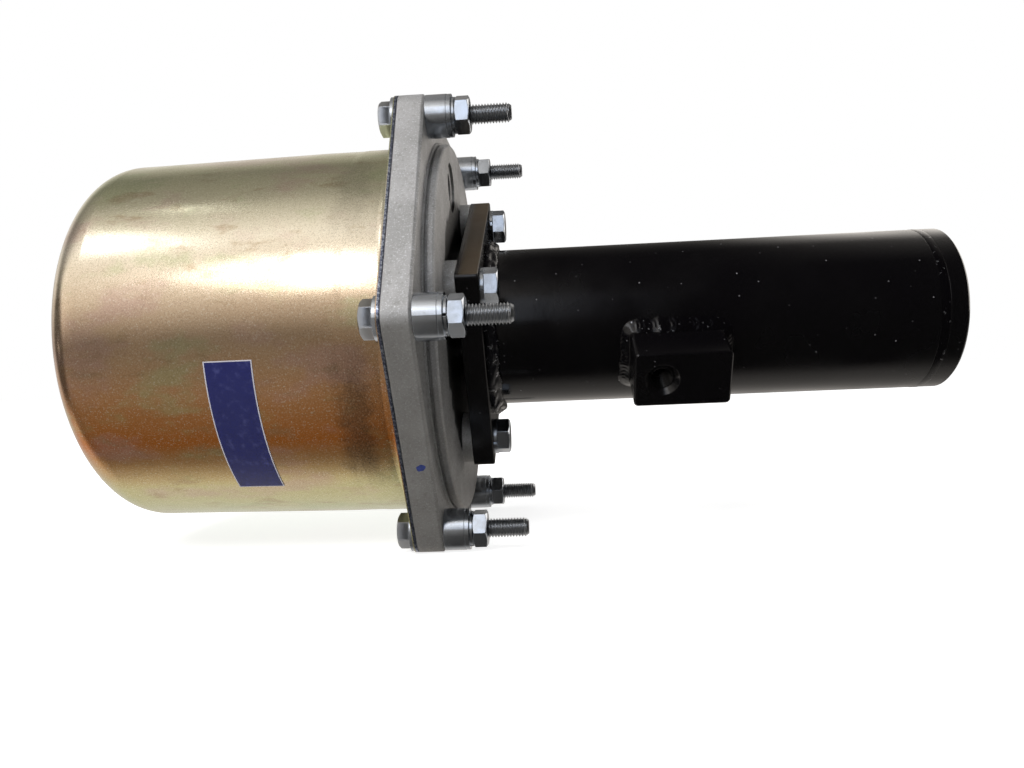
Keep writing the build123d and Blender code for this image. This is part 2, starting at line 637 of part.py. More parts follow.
weld_rise = 3.0
with BuildPart() as bracket_weld:
    with BuildSketch(bracket_plane(bracket_foot_distance - 4)):
        RectangleRounded(bracket_length + 2 * BRACKET_WELD_LEG, BRACKET_HEIGHT + 2 * BRACKET_WELD_LEG, 5)
    with BuildSketch(bracket_plane(bracket_foot_distance + weld_rise)):
        RectangleRounded(bracket_length + 1.0, BRACKET_HEIGHT + 1.0, 2.5)
    loft()
    revolve(ring(BRACKET_START_X - 9, BRACKET_END_X + 9, 0, TUBE_RADIUS), axis=Axis.X, mode=Mode.SUBTRACT)
    with BuildSketch(bracket_plane(BRACKET_FACE_DISTANCE)) as block_print:
        Rectangle(bracket_length, BRACKET_HEIGHT)
        fillet(block_print.vertices(), 2.0)
    extrude(amount=-BRACKET_FACE_DISTANCE, mode=Mode.SUBTRACT)
bracket_weld.part.label = "bracket_weld"
export_step(bracket_weld.part, "parts/bracket_weld.step")

# ---- piston and push rod ------------------------------------------------------------------------

piston_front_x = PISTON_BACK_X + PISTON_LENGTH
SEAL_GROOVE = (PISTON_BACK_X + 12.0, PISTON_BACK_X + 20.0)
GUIDE_GROOVE = (PISTON_BACK_X + 22.0, PISTON_BACK_X + 29.0)
PISTON_HUB_RADIUS = 24.0
with BuildPart() as piston:
    revolve(
        half_section(
            (PISTON_WEB_BACK_X, ROD_STUB_RADIUS),
            (PISTON_WEB_BACK_X, PISTON_RIM_RADIUS),
            (PISTON_BACK_X, PISTON_RIM_RADIUS + 2),
            (PISTON_BACK_X, PISTON_RADIUS),
            (piston_front_x, PISTON_RADIUS),
            (piston_front_x, PISTON_RIM_RADIUS + 2),
            (PISTON_WEB_FRONT_X, PISTON_RIM_RADIUS),
            (PISTON_WEB_FRONT_X, ROD_STUB_RADIUS),
        ),
        axis=Axis.X,
    )
    chamfer(round_edges(piston, PISTON_RADIUS).sort_by(Axis.X)[0], PISTON_EDGE_BEVEL)
    # stiffening ribs on the vented side, between the hub's land and the rim
    with BuildSketch(Plane.YZ.offset(PISTON_WEB_FRONT_X)):
        with PolarLocations((PISTON_HUB_RADIUS + PISTON_RIM_RADIUS) / 2, 8):
            Rectangle(PISTON_RIM_RADIUS - PISTON_HUB_RADIUS + 2, 4)
    extrude(amount=4)
    for groove_start, groove_end in (SEAL_GROOVE, GUIDE_GROOVE):
        groove = ring(groove_start, groove_end, PISTON_GROOVE_RADIUS, BORE_RADIUS)
        revolve(groove, axis=Axis.X, mode=Mode.SUBTRACT)
piston.part.label = "piston"
export_step(piston.part, "parts/piston.step")

with BuildPart() as piston_seal:
    seal_start, seal_end = SEAL_GROOVE
    revolve(
        half_section(
            (seal_end - 0.5, PISTON_GROOVE_RADIUS),
            (seal_end - 0.5, PISTON_SEAL_RADIUS - 0.8),
            (seal_start + 0.5, PISTON_SEAL_RADIUS),
            (seal_start + 0.5, PISTON_SEAL_RADIUS - 1.6),
            (seal_end - 4, (PISTON_GROOVE_RADIUS + PISTON_SEAL_RADIUS) / 2),
            (seal_start + 0.5, PISTON_GROOVE_RADIUS + 1.6),
            (seal_start + 0.5, PISTON_GROOVE_RADIUS),
        ),
        axis=Axis.X,
    )
piston_seal.part.label = "piston_seal"
export_step(piston_seal.part, "parts/piston_seal.step")

with BuildPart() as guide_ring:
    revolve(ring(GUIDE_GROOVE[0], GUIDE_GROOVE[1], PISTON_GROOVE_RADIUS, PISTON_SEAL_RADIUS), axis=Axis.X)
guide_ring.part.label = "guide_ring"
export_step(guide_ring.part, "parts/guide_ring.step")

rod_end_x = TUBE_END_X - ROD_END_RECESS
stub_end_x = PISTON_WEB_BACK_X - ROD_WASHER_THICKNESS - ROD_NUT_HEIGHT - 1.0
ROD_SEAL_WIDTH = 3.0
with BuildPart() as push_rod:
    revolve(ring(PISTON_WEB_FRONT_X, rod_end_x, 0, ROD_RADIUS), axis=Axis.X)
    chamfer(push_rod.edges().group_by(Axis.X)[-1], 1.5)
    revolve(ring(stub_end_x, PISTON_WEB_FRONT_X, 0, ROD_STUB_RADIUS), axis=Axis.X)
    chamfer(push_rod.edges().group_by(Axis.X)[0], 1.5)
    revolve(
        ring(SEAT_START_X - SEAT_RING_THICKNESS, SEAT_START_X, SEAT_RING_GROOVE_RADIUS, ROD_RADIUS + 1),
        axis=Axis.X,
        mode=Mode.SUBTRACT,
    )
    revolve(
        ring(
            PISTON_WEB_FRONT_X - ROD_SEAL_WIDTH - 3,
            PISTON_WEB_FRONT_X - 3,
            ROD_STUB_RADIUS - 2,
            ROD_STUB_RADIUS + 1,
        ),
        axis=Axis.X,
        mode=Mode.SUBTRACT,
    )
    revolve(
        ring(rod_end_x - ROD_END_THREAD_DEPTH, rod_end_x, 0, ROD_END_THREAD_RADIUS),
        axis=Axis.X,
        mode=Mode.SUBTRACT,
    )
push_rod.part.label = "push_rod"
export_step(push_rod.part, "parts/push_rod.step")

with BuildPart() as rod_seal:
    revolve(
        ring(
            PISTON_WEB_FRONT_X - ROD_SEAL_WIDTH - 3,
            PISTON_WEB_FRONT_X - 3,
            ROD_STUB_RADIUS - 2,
            ROD_STUB_RADIUS,
        ),
        axis=Axis.X,
    )
rod_seal.part.label = "rod_seal"
export_step(rod_seal.part, "parts/rod_seal.step")

rod_washer_x = PISTON_WEB_BACK_X - ROD_WASHER_THICKNESS
with BuildPart() as rod_washer:
    revolve(ring(rod_washer_x, PISTON_WEB_BACK_X, ROD_STUB_RADIUS, ROD_WASHER_RADIUS), axis=Axis.X)
rod_washer.part.label = "rod_washer"
export_step(rod_washer.part, "parts/rod_washer.step")

with BuildPart() as rod_nut:
    with BuildSketch(Plane.YZ.offset(rod_washer_x - ROD_NUT_HEIGHT)):
        RegularPolygon(across_corners(ROD_NUT_ACROSS_FLATS), side_count=6)
        Circle(ROD_STUB_RADIUS, mode=Mode.SUBTRACT)
    extrude(amount=ROD_NUT_HEIGHT)
rod_nut.part.label = "rod_nut"
export_step(rod_nut.part, "parts/rod_nut.step")

with BuildPart() as seat_ring:
    revolve(
        ring(SEAT_START_X - SEAT_RING_THICKNESS, SEAT_START_X, SEAT_RING_GROOVE_RADIUS, SEAT_RING_RADIUS),
        axis=Axis.X,
    )
    with BuildSketch(Plane.YZ.offset(SEAT_START_X - SEAT_RING_THICKNESS)):
        with Locations((0, SEAT_RING_RADIUS)):
            Rectangle(8, SEAT_RING_RADIUS)
    extrude(amount=SEAT_RING_THICKNESS, mode=Mode.SUBTRACT)
seat_ring.part.label = "seat_ring"
export_step(seat_ring.part, "parts/seat_ring.step")

with BuildPart() as spring_seat:
    revolve(
        half_section(
            (SEAT_START_X, ROD_RADIUS),
            (SEAT_START_X, SEAT_RADIUS),
            (seat_end_x, SEAT_RADIUS),
            (seat_end_x, SEAT_HUB_RADIUS),
            (seat_end_x + SEAT_HUB_LENGTH, SEAT_HUB_RADIUS - 2),
            (seat_end_x + SEAT_HUB_LENGTH, ROD_RADIUS),
        ),
        axis=Axis.X,
    )
spring_seat.part.label = "spring_seat"
export_step(spring_seat.part, "parts/spring_seat.step")

# The helix starts half a wire outside each seat, and its ends are ground flat.
spring_length = plug_end_x - seat_end_x
with BuildPart() as return_spring:
    with BuildLine() as spring_path:
        Helix(
            pitch=spring_length / SPRING_TURNS,
            height=spring_length,
            radius=SPRING_MEAN_RADIUS,
            center=(seat_end_x, 0, 0),
            direction=(1, 0, 0),
        )
    with BuildSketch(Plane(origin=spring_path.line @ 0, z_dir=spring_path.line % 0)):
        RegularPolygon(SPRING_WIRE_RADIUS, side_count=SPRING_WIRE_SIDES)
    sweep(is_frenet=True)
    revolve(
        ring(seat_end_x, plug_end_x, SPRING_MEAN_RADIUS / 2, TUBE_RADIUS), axis=Axis.X, mode=Mode.INTERSECT
    )
return_spring.part.label = "return_spring"
export_step(return_spring.part, "parts/return_spring.step")
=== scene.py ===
"""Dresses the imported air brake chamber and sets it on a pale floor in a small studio.

The CAD frame gives every piece its place. This file gives each surface its finish and adds what is finer than
the solids: rolled threads, weld ripples, the round wire of the return spring and the marks of use.
Lengths are written in millimetres and turned to Blender's metres by MM.
"""

import logging
import math
from abc import ABC, abstractmethod
from dataclasses import dataclass
from enum import Enum
from functools import partial
from typing import Callable, Optional, Sequence, Union

import bmesh
import bpy
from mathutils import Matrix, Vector, noise


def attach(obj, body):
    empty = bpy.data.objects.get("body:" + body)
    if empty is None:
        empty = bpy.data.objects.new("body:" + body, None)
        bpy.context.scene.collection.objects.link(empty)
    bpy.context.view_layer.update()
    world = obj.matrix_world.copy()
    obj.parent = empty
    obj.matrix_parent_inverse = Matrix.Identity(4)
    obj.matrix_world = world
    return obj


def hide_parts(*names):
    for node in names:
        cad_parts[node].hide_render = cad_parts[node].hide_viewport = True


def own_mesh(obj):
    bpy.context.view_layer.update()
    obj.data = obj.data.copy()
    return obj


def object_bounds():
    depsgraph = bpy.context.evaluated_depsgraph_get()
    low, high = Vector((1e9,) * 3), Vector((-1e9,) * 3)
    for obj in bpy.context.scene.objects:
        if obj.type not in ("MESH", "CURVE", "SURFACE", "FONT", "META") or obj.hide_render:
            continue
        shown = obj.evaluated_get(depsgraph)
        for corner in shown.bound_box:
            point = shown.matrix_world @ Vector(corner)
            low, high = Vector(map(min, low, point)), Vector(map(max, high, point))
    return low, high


log = logging.getLogger("air_brake_chamber")
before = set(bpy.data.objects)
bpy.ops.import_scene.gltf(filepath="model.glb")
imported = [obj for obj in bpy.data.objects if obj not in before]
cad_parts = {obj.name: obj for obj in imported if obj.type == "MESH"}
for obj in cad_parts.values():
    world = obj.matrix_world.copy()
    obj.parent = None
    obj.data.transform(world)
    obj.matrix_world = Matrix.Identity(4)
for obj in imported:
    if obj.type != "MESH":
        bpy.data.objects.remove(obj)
cad_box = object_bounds()

MM = 0.001
FULL_TURN = 2 * math.pi
Point = tuple[float, float]
Colour = tuple[float, float, float, float]
Tree = bpy.types.NodeTree
Socket = bpy.types.NodeSocket
AddNode = Callable[..., Socket]
Mesh = bmesh.types.BMesh
Ring = list[bmesh.types.BMVert]


class Body(str, Enum):
    """The two rigid bodies of the part."""

    CHAMBER = "chamber"
    PISTON_ROD = "piston_rod"


# ---- colours and nodes --------------------------------------------------------------------------

PLUS, MINUS, TIMES = ({"operation": name} for name in ("ADD", "SUBTRACT", "MULTIPLY"))
LEAST, MOST = ({"operation": name} for name in ("MINIMUM", "MAXIMUM"))
SMOOTH = {"interpolation_type": "SMOOTHSTEP"}
COLOURS = {"data_type": "RGBA"}


def linear(hex_colour: str) -> Colour:
    """Turns an sRGB hex colour into the linear colour that Blender's nodes expect.

    Args:
        hex_colour: Six hex digits with a leading hash.

    Returns:
        Linear red, green and blue, and an alpha of 1.
    """
    channels = [int(hex_colour[place : place + 2], 16) / 255 for place in (1, 3, 5)]
    red, green, blue = [
        value / 12.92 if value <= 0.04045 else ((value + 0.055) / 1.055) ** 2.4 for value in channels
    ]
    return red, green, blue, 1.0


def feed(tree: Tree, target: Socket, value: object) -> None:
    """Links a socket to an input, or sets the input's own value.

    Args:
        tree: The node tree that holds the input.
        target: The input.
        value: A socket, a number, a colour or a vector.
    """
    if isinstance(value, Socket):
        tree.links.new(value, target)
    else:
        target.default_value = value


def add_node(
    tree: Tree, kind: str, inputs: Union[Sequence, dict] = (), output: str = "", **settings: object
) -> Socket:
    """Adds one node with its settings, values and links.

    Args:
        tree: The node tree that receives the node.
        kind: Blender's name of the node type, after ShaderNode.
        inputs: Values or sockets, either by name or for the inputs in use, in their order.
        output: The name of the output that is wanted, or nothing for the first in use.
        **settings: The node's own properties. A ramp's stops are places from 0 to 1, each with its linear
            colour.

    Returns:
        The output's socket.
    """
    node = tree.nodes.new(f"ShaderNode{kind}")
    stops = settings.pop("stops", ())
    if stops:
        elements = node.color_ramp.elements
        while len(elements) < len(stops):
            elements.new(0.5)
        for element, (place, colour) in zip(elements, stops):
            element.position = place
            element.color = colour
    for name, value in settings.items():
        setattr(node, name, value)
    in_use = [socket for socket in node.inputs if socket.enabled]
    by_name = isinstance(inputs, dict)
    for key, value in inputs.items() if by_name else zip(in_use, inputs):
        feed(tree, node.inputs[key] if by_name else key, value)
    if output:
        return node.outputs[output]
    return next(socket for socket in node.outputs if socket.enabled)


def per_metre(size_mm: float) -> float:
    """The texture scale at which one feature of a pattern is size_mm across."""
    return 1 / (size_mm * MM)


def sized(where: Socket, size_mm: float, detail: float = 2.0, rough: float = 0.5) -> dict:
    """A noise's inputs for features of size_mm, with that many finer layers of strength rough."""
    return {"Vector": where, "Scale": per_metre(size_mm), "Detail": detail, "Roughness": rough}


def lay_over(add: AddNode, base: Union[Socket, Colour], layers: Sequence[tuple]) -> Socket:
    """Lays colours over a base, each where its pattern runs from one value to another.

    Args:
        add: Adds a node to the material.
        base: The colour below.
        layers: For each colour, its pattern, the values at which it starts and is full, how much of it shows
            there, and its hex colour.

    Returns:
        The colour's socket.
    """
    for pattern, start, end, most, colour in layers:
        share = add("MapRange", (pattern, start, end, 0.0, most), **SMOOTH)
        base = add("Mix", (share, base, linear(colour)), **COLOURS)
    return base


def overlap(add: AddNode, *shares: Union[Socket, float]) -> Socket:
    """Where several shares from 0 to 1 meet: their product.

    Args:
        add: Adds a node to the material.
        *shares: Two or more sockets or numbers.

    Returns:
        The product's socket.
    """
    product = shares[0]
    for share in shares[1:]:
        product = add("Math", (product, share), **TIMES)
    return product


def unevenness(add: AddNode, pattern: Socket, size: float) -> Socket:
    """A pattern's swing about its middle, as a length or an angle.

    Args:
        add: Adds a node to the material.
        pattern: A noise from 0 to 1.
        size: How far it swings from end to end.

    Returns:
        The swing's socket.
    """
    return add("Math", (add("Math", (pattern, 0.5), **MINUS), size), **TIMES)


def about_axis(add: AddNode) -> tuple[Socket, Socket, Socket]:
    """The place as seen from the chamber's axis.

    Args:
        add: Adds a node to the material.

    Returns:
        The distance along the axis and the distance from it, in metres, and the angle about it in radians: 0
        at the near side, positive upwards, from -pi to pi.
    """
    where = add("TexCoord", output="Object")
    along = add("SeparateXYZ", (where,), "X")
    axes = along.node.outputs
    distance = add("VectorMath", (add("Mapping", {"Vector": where, "Scale": (0, 1, 1)}),), operation="LENGTH")
    toward = add("Math", (axes["Y"], -1.0), **TIMES)
    return along, distance, add("Math", (axes["Z"], toward), operation="ARCTAN2")


# ---- finishes -----------------------------------------------------------------------------------


@dataclass(frozen=True)
class Finish(ABC):
    """A surface finish that builds its own material: relief_mm deep, with edges rounded to edge_mm."""

    name: str
    relief_mm: float = 0.02
    edge_mm: float = 0.0

    def material(self) -> bpy.types.Material:
        """Builds the material.

        Returns:
            The material, or the one that has been built before.
        """
        existing = bpy.data.materials.get(self.name)
        if existing:
            return existing
        material = bpy.data.materials.new(self.name)
        material.use_nodes = True
        tree = material.node_tree
        add = partial(add_node, tree)
        sockets = self.sockets(add)
        relief = {"Height": sockets.pop("Height"), "Distance": self.relief_mm * MM, "Strength": 1.0}
        if self.edge_mm:
            relief["Normal"] = add("Bevel", {"Radius": self.edge_mm * MM}, samples=4)
        sockets["Normal"] = add("Bump", relief)
        for name, value in sockets.items():
            feed(tree, tree.nodes["Principled BSDF"].inputs[name], value)
        return material

    @abstractmethod
    def sockets(self, add: AddNode) -> dict:
        """Makes the finish's patterns.

        Args:
            add: Adds a node to the material.

        Returns:
            The shader's inputs by name, and the relief's Height from 0 to 1.
        """


# The film's hue about the axis, from -180 to 180 degrees as 0 to 1: green gold below, orange brown low on
# the near side, then rose, and pale gold above. The orange brown is a painted reflection of a brown floor in
# front, and the palest gold, where the window's highlight falls, is a painted highlight colour.
FILM_HUES_WITH_PAINTED_REFLECTIONS = (
    (0.00, "#cdc8a2"),
    (0.20, "#b9cfa6"),
    (0.36, "#d0ca98"),
    (0.41, "#c87a36"),
    (0.44, "#c48a56"),
    (0.48, "#cdaa85"),
    (0.57, "#e6dfcc"),
    (0.66, "#c8c89e"),
    (1.00, "#cdc8a2"),
)


@dataclass(frozen=True)
class YellowPassivatedSteel(Finish):
    """Deep-drawn steel, zinc plated and yellow passivated.

    The thin film is iridescent: olive gold, with rose and green clouds. Its hue also changes round the axis:
    orange brown low on the near side is a painted reflection of a brown floor in front, and the film is
    paler where the window's highlight falls, a painted highlight colour. A dark ring where the wall ends its
    taper is painted shade of the wall's step, kept off the highlight and broken up by the grain. The drawn
    steel's grain sparkles in the light. It is about 0.1 mm, too fine to show, so it is drawn at 0.6 mm. The
    flange's sheared edge stayed nearly bare: dark and bluish, with bright specks.
    """

    name: str = "yellow_passivated_steel"
    relief_mm: float = 0.019
    edge_mm: float = 0.6
    grain_mm: float = 0.6
    cloud_mm: float = 30.0
    streak_mm: float = 9.0
    torn_mm: float = 0.9
    wander_mm: float = 8.0
    wander_wave_mm: float = 36.0
    wall_radius_mm: float = 84.0
    sheared_x_mm: float = -30.3
    sheared_radius_mm: float = 90.0

    def sockets(self, add: AddNode) -> dict:
        """Makes the gold film over grained steel, with a painted reflection, highlight colour and shade.

        Args:
            add: Adds a node to the material.

        Returns:
            The shader's inputs by name, and the relief's Height.
        """
        where = add("TexCoord", output="Object")
        along, radius, angle = about_axis(add)
        waves, clouds, stains = (
            add("TexNoise", sized(add("Mapping", {"Vector": where, "Scale": stretch}), size, 4.0, rough))
            for stretch, size, rough in (
                ((0.4, 1, 1), self.wander_wave_mm, 0.5),
                ((0.55, 1, 1), self.cloud_mm, 0.6),
                ((0.45, 1, 1), self.streak_mm, 0.62),
            )
        )
        wander = unevenness(add, waves, 2 * self.wander_mm / self.wall_radius_mm)
        wandering = add("Math", (angle, wander), **PLUS)
        share = add("Math", (add("Math", (wandering, FULL_TURN), operation="DIVIDE"), 0.5), **PLUS)
        grain = add("TexNoise", sized(where, self.grain_mm, 2.0, 0.7))
        # Painted reflection and painted highlight colour: the hues round the axis hold an orange brown band
        # low on the near side and a pale band where the window's highlight falls. The clouds and the grain
        # are the film's own.
        film = lay_over(
            add,
            add("ValToRGB", {"Fac": share}, stops=[(place, linear(colour)) for place, colour in FILM_HUES_WITH_PAINTED_REFLECTIONS]),
            (
                (clouds, 0.52, 0.66, 0.4, "#cba7a4"),
                (clouds, 0.47, 0.36, 0.4, "#b4c492"),
                (stains, 0.55, 0.70, 0.45, "#a98f6b"),
                (grain, 0.5, 0.34, 0.22, "#5f5038"),
                (grain, 0.56, 0.70, 0.5, "#f3efe0"),
            ),
        )
        there = add("Math", (along, unevenness(add, stains, 14 * MM)), **PLUS)
        start, end, low_start, low_end, high_start, high_end, grain_breakup = (
            add("MapRange", values, **SMOOTH)
            for values in (
                (there, -58 * MM, -50 * MM),
                (there, -38 * MM, -45 * MM),
                (share, 0.35, 0.39),
                (share, 0.49, 0.44, 0.0, 0.75),
                (share, 0.55, 0.60),
                (share, 0.69, 0.62, 0.0, 0.32),
                (grain, 0.3, 0.6, 1.0, 0.6),
            )
        )
        # Painted shade: a dark ring where the wall steps, on the low and high sides of the near side's
        # highlight band but not across it, broken up by the grain.
        sides = add("Math", (overlap(add, low_start, low_end), overlap(add, high_start, high_end)), **MOST)
        step_shade = overlap(add, overlap(add, start, end), sides, grain_breakup)
        film = add("Mix", (step_shade, film, linear("#4c463e")), **COLOURS)
        rim_out, rim_x = self.sheared_radius_mm, self.sheared_x_mm
        rim = add("MapRange", (radius, (rim_out - 2) * MM, rim_out * MM), **SMOOTH)
        past = add("MapRange", (along, (rim_x - 0.3) * MM, rim_x * MM), **SMOOTH)
        specks = add("TexNoise", sized(where, self.torn_mm))
        torn = lay_over(add, linear("#656c82"), [(specks, 0.42, 0.66, 1.0, "#b4bccb")])
        blotches = add("TexNoise", sized(where, self.cloud_mm * 0.5, 3.0))
        return {
            "Base Color": add("Mix", (overlap(add, rim, past), film, torn), **COLOURS),
            "Metallic": 1.0,
            "Roughness": add("MapRange", (blotches, 0.35, 0.7, 0.15, 0.22), **SMOOTH),
            "Height": grain,
        }


@dataclass(frozen=True)
class SandCastAluminium(Finish):
    """Aluminium cast in sand and shot blasted: grey, rough, with small bright facets and rounded edges.

    The face behind the tube's flange is painted near black: painted shadow of the flange in the narrow gap.
    The faces that look towards the tube are painted darker towards the bottom, and downward sides darker:
    painted shade. The facets that the shot leaves are about 0.3 mm, too fine to show, so they are drawn at
    0.6 mm.
    """

    name: str = "sand_cast_aluminium"
    relief_mm: float = 0.14
    edge_mm: float = 0.9
    pit_mm: float = 1.6
    shot_mm: float = 0.6
    patch_mm: float = 16.0
    face_x_mm: float = -12.6
    painted_shadow_radius_mm: float = 60.0

    def sockets(self, add: AddNode) -> dict:
        """Makes pitted grey metal with bright specks, and painted shadow and shade round the tube.

        Args:
            add: Adds a node to the material.

        Returns:
            The shader's inputs by name, and the relief's Height.
        """
        where = add("TexCoord", output="Object")
        pits, shot, patches, fringe = (
            add("TexNoise", sized(where, size, detail))
            for size, detail in ((self.pit_mm, 3.0), (self.shot_mm, 1.0), (self.patch_mm, 3.0), (9.0, 3.0))
        )
        colour = lay_over(
            add,
            linear("#b4b4b4"),
            (
                (patches, 0.35, 0.7, 1.0, "#c8c8c9"),
                (pits, 0.46, 0.3, 0.3, "#85847f"),
                (shot, 0.58, 0.7, 0.6, "#e4e6ea"),
            ),
        )
        along, radius, _ = about_axis(add)
        ragged = add("Math", (radius, unevenness(add, fringe, 12 * MM)), **PLUS)
        normal = add("NewGeometry", output="Normal")
        facing = add("SeparateXYZ", (normal,), "X")
        face, shadow_edge = self.face_x_mm * MM, self.painted_shadow_radius_mm * MM
        inside, on_face, from_front, forward, below, speckled = (
            add("MapRange", values, **SMOOTH)
            for values in (
                (ragged, shadow_edge + 1.5 * MM, shadow_edge - 1.5 * MM),
                (along, face + 0.5 * MM, face),
                (along, face - 7.0 * MM, face - 6.0 * MM),
                (facing, 0.6, 0.9),
                (add("SeparateXYZ", (where,), "Z"), 30 * MM, -20 * MM, 0.35, 1.0),
                (pits, 0.3, 0.6, 0.55, 0.42),
            )
        )
        # Painted shadow: inside a ragged circle behind the tube's flange the face goes near black and loses
        # its metal, for the shade in the narrow gap.
        flange_shadow = overlap(add, inside, on_face, from_front)
        # Painted shade: faces that look towards the tube get darker towards the bottom, broken up by the
        # pits.
        lower_face_shade = overlap(add, forward, below, speckled)
        colour = add("Mix", (lower_face_shade, colour, linear("#3b3833")), **COLOURS)
        # Painted shade: sides that face downwards are darker.
        colour = lay_over(add, colour, [(facing.node.outputs["Z"], 0.1, -0.45, 0.5, "#6e6a62")])
        relief = add("Math", (overlap(add, pits, 0.7), overlap(add, shot, 0.3)), **PLUS)
        return {
            "Base Color": add("Mix", (flange_shadow, colour, linear("#0b0a0b")), **COLOURS),
            "Metallic": overlap(add, add("Math", (1.0, flange_shadow), **MINUS), 0.65),
            "Roughness": add("MapRange", (shot, 0.3, 0.7, 0.6, 0.45), **SMOOTH),
            "Height": relief,
        }


@dataclass(frozen=True)
class BrightZincPlate(Finish):
    """Cold-headed steel with clear zinc plating: bluish, fairly sharp reflections and softened edges."""

    name: str = "bright_zinc_plate"
    relief_mm: float = 0.006
    edge_mm: float = 0.35
    colour: str = "#ccd3dc"
    roughness: float = 0.17
    cloud_mm: float = 6.0

    def sockets(self, add: AddNode) -> dict:
        """Makes bluish bright metal with faint clouds in its gloss.

        Args:
            add: Adds a node to the material.

        Returns:
            The shader's inputs by name, and the relief's Height.
        """
        clouds = add("TexNoise", sized(add("TexCoord", output="Object"), self.cloud_mm))
        gloss = (clouds, 0.3, 0.75, self.roughness, self.roughness + 0.08)
        return {
            "Base Color": lay_over(add, linear(self.colour), [(clouds, 0.45, 0.7, 0.35, "#b3b6b8")]),
            "Metallic": 1.0,
            "Roughness": add("MapRange", gloss, **SMOOTH),
            "Height": clouds,
        }


@dataclass(frozen=True)
class PaintedReflectionSide:
    """A flat side that shows a painted reflection: where it looks, how far out it lies and where it starts.
    """

    degrees: float
    distance_mm: float
    start_mm: float

    def share(self, add: AddNode, where: Socket) -> Socket:
        """How much of the painted reflection shows.

        Args:
            add: Adds a node to the material.
            where: The place on the part.

        Returns:
            The share's socket.
        """
        turn = math.radians(self.degrees)
        outward = (0.0, math.cos(turn), math.sin(turn))
        height = add("VectorMath", (where, outward), operation="DOT_PRODUCT")
        on_side = (height, (self.distance_mm - 0.5) * MM, (self.distance_mm - 0.2) * MM)
        past_start = (add("SeparateXYZ", (where,), "X"), self.start_mm * MM, (self.start_mm + 3.5) * MM)
        return overlap(add, *(add("MapRange", values, **SMOOTH) for values in (on_side, past_start)))


@dataclass(frozen=True)
class GlossBlackPaint(Finish):
    """Black alkyd paint sprayed over bare steel: a wet gloss with orange peel, and pale dust settled on it.

    Where chips is set, the paint has missed or left the high spots, and blasted steel shows through. On the
    given flat side, the paint is brown and duller: a painted reflection of the light from above.
    """

    name: str = "gloss_black_paint"
    edge_mm: float = 0.5
    colour: str = "#080709"
    roughness: float = 0.14
    dust_mm: float = 3.0
    peel_mm: float = 1.6
    chips: float = 0.0
    painted_reflection_side: Optional[PaintedReflectionSide] = None

    def sockets(self, add: AddNode) -> dict:
        """Makes black gloss, dust specks and, where asked, bare chips or a side with a painted reflection.

        Args:
            add: Adds a node to the material.

        Returns:
            The shader's inputs by name, and the relief's Height.
        """
        where = add("TexCoord", output="Object")
        specks = add("TexVoronoi", {"Vector": where, "Scale": per_metre(self.dust_mm), "Randomness": 1.0})
        hues = add("SeparateColor", (specks.node.outputs["Color"],), "Red")
        near_speck, chosen, drift, gloss = (
            add("MapRange", values, **SMOOTH)
            for values in (
                (specks, 0.15, 0.08),
                (hues, 0.84, 0.9),
                (add("TexNoise", sized(where, 22.0)), 0.45, 0.7),
                (add("TexNoise", sized(where, 30.0, 3.0)), 0.35, 0.7, self.roughness, self.roughness + 0.14),
            )
        )
        settled = add("Math", (drift, 0.15), **PLUS, use_clamp=True)
        dust = overlap(add, near_speck, chosen, settled, 0.7)
        colour = add("Mix", (dust, linear(self.colour), linear("#9b9a9d")), **COLOURS)
        metal = 0.0
        if self.chips:
            crumbs = add("TexNoise", sized(where, 2.2, 4.0, 0.65))
            start = 0.70 - 0.08 * self.chips
            metal = add("MapRange", (crumbs, start, start + 0.04), **SMOOTH)
            colour = add("Mix", (metal, colour, linear("#a9aaad")), **COLOURS)
            gloss = add("Math", (gloss, overlap(add, metal, 0.15)), **PLUS)
        # Painted reflection: the given side turns brown and duller, for the light from above that it mirrors.
        if self.painted_reflection_side:
            thin = self.painted_reflection_side.share(add, where)
            colour = add("Mix", (thin, colour, linear("#463b2d")), **COLOURS)
            gloss = add("Math", (gloss, overlap(add, thin, 0.3)), **PLUS)
        return {
            "Base Color": colour,
            "Metallic": metal,
            "Roughness": gloss,
            "Specular IOR Level": 0.35 if self.chips else 0.5,
            "Height": add("TexNoise", sized(where, self.peel_mm)),
        }


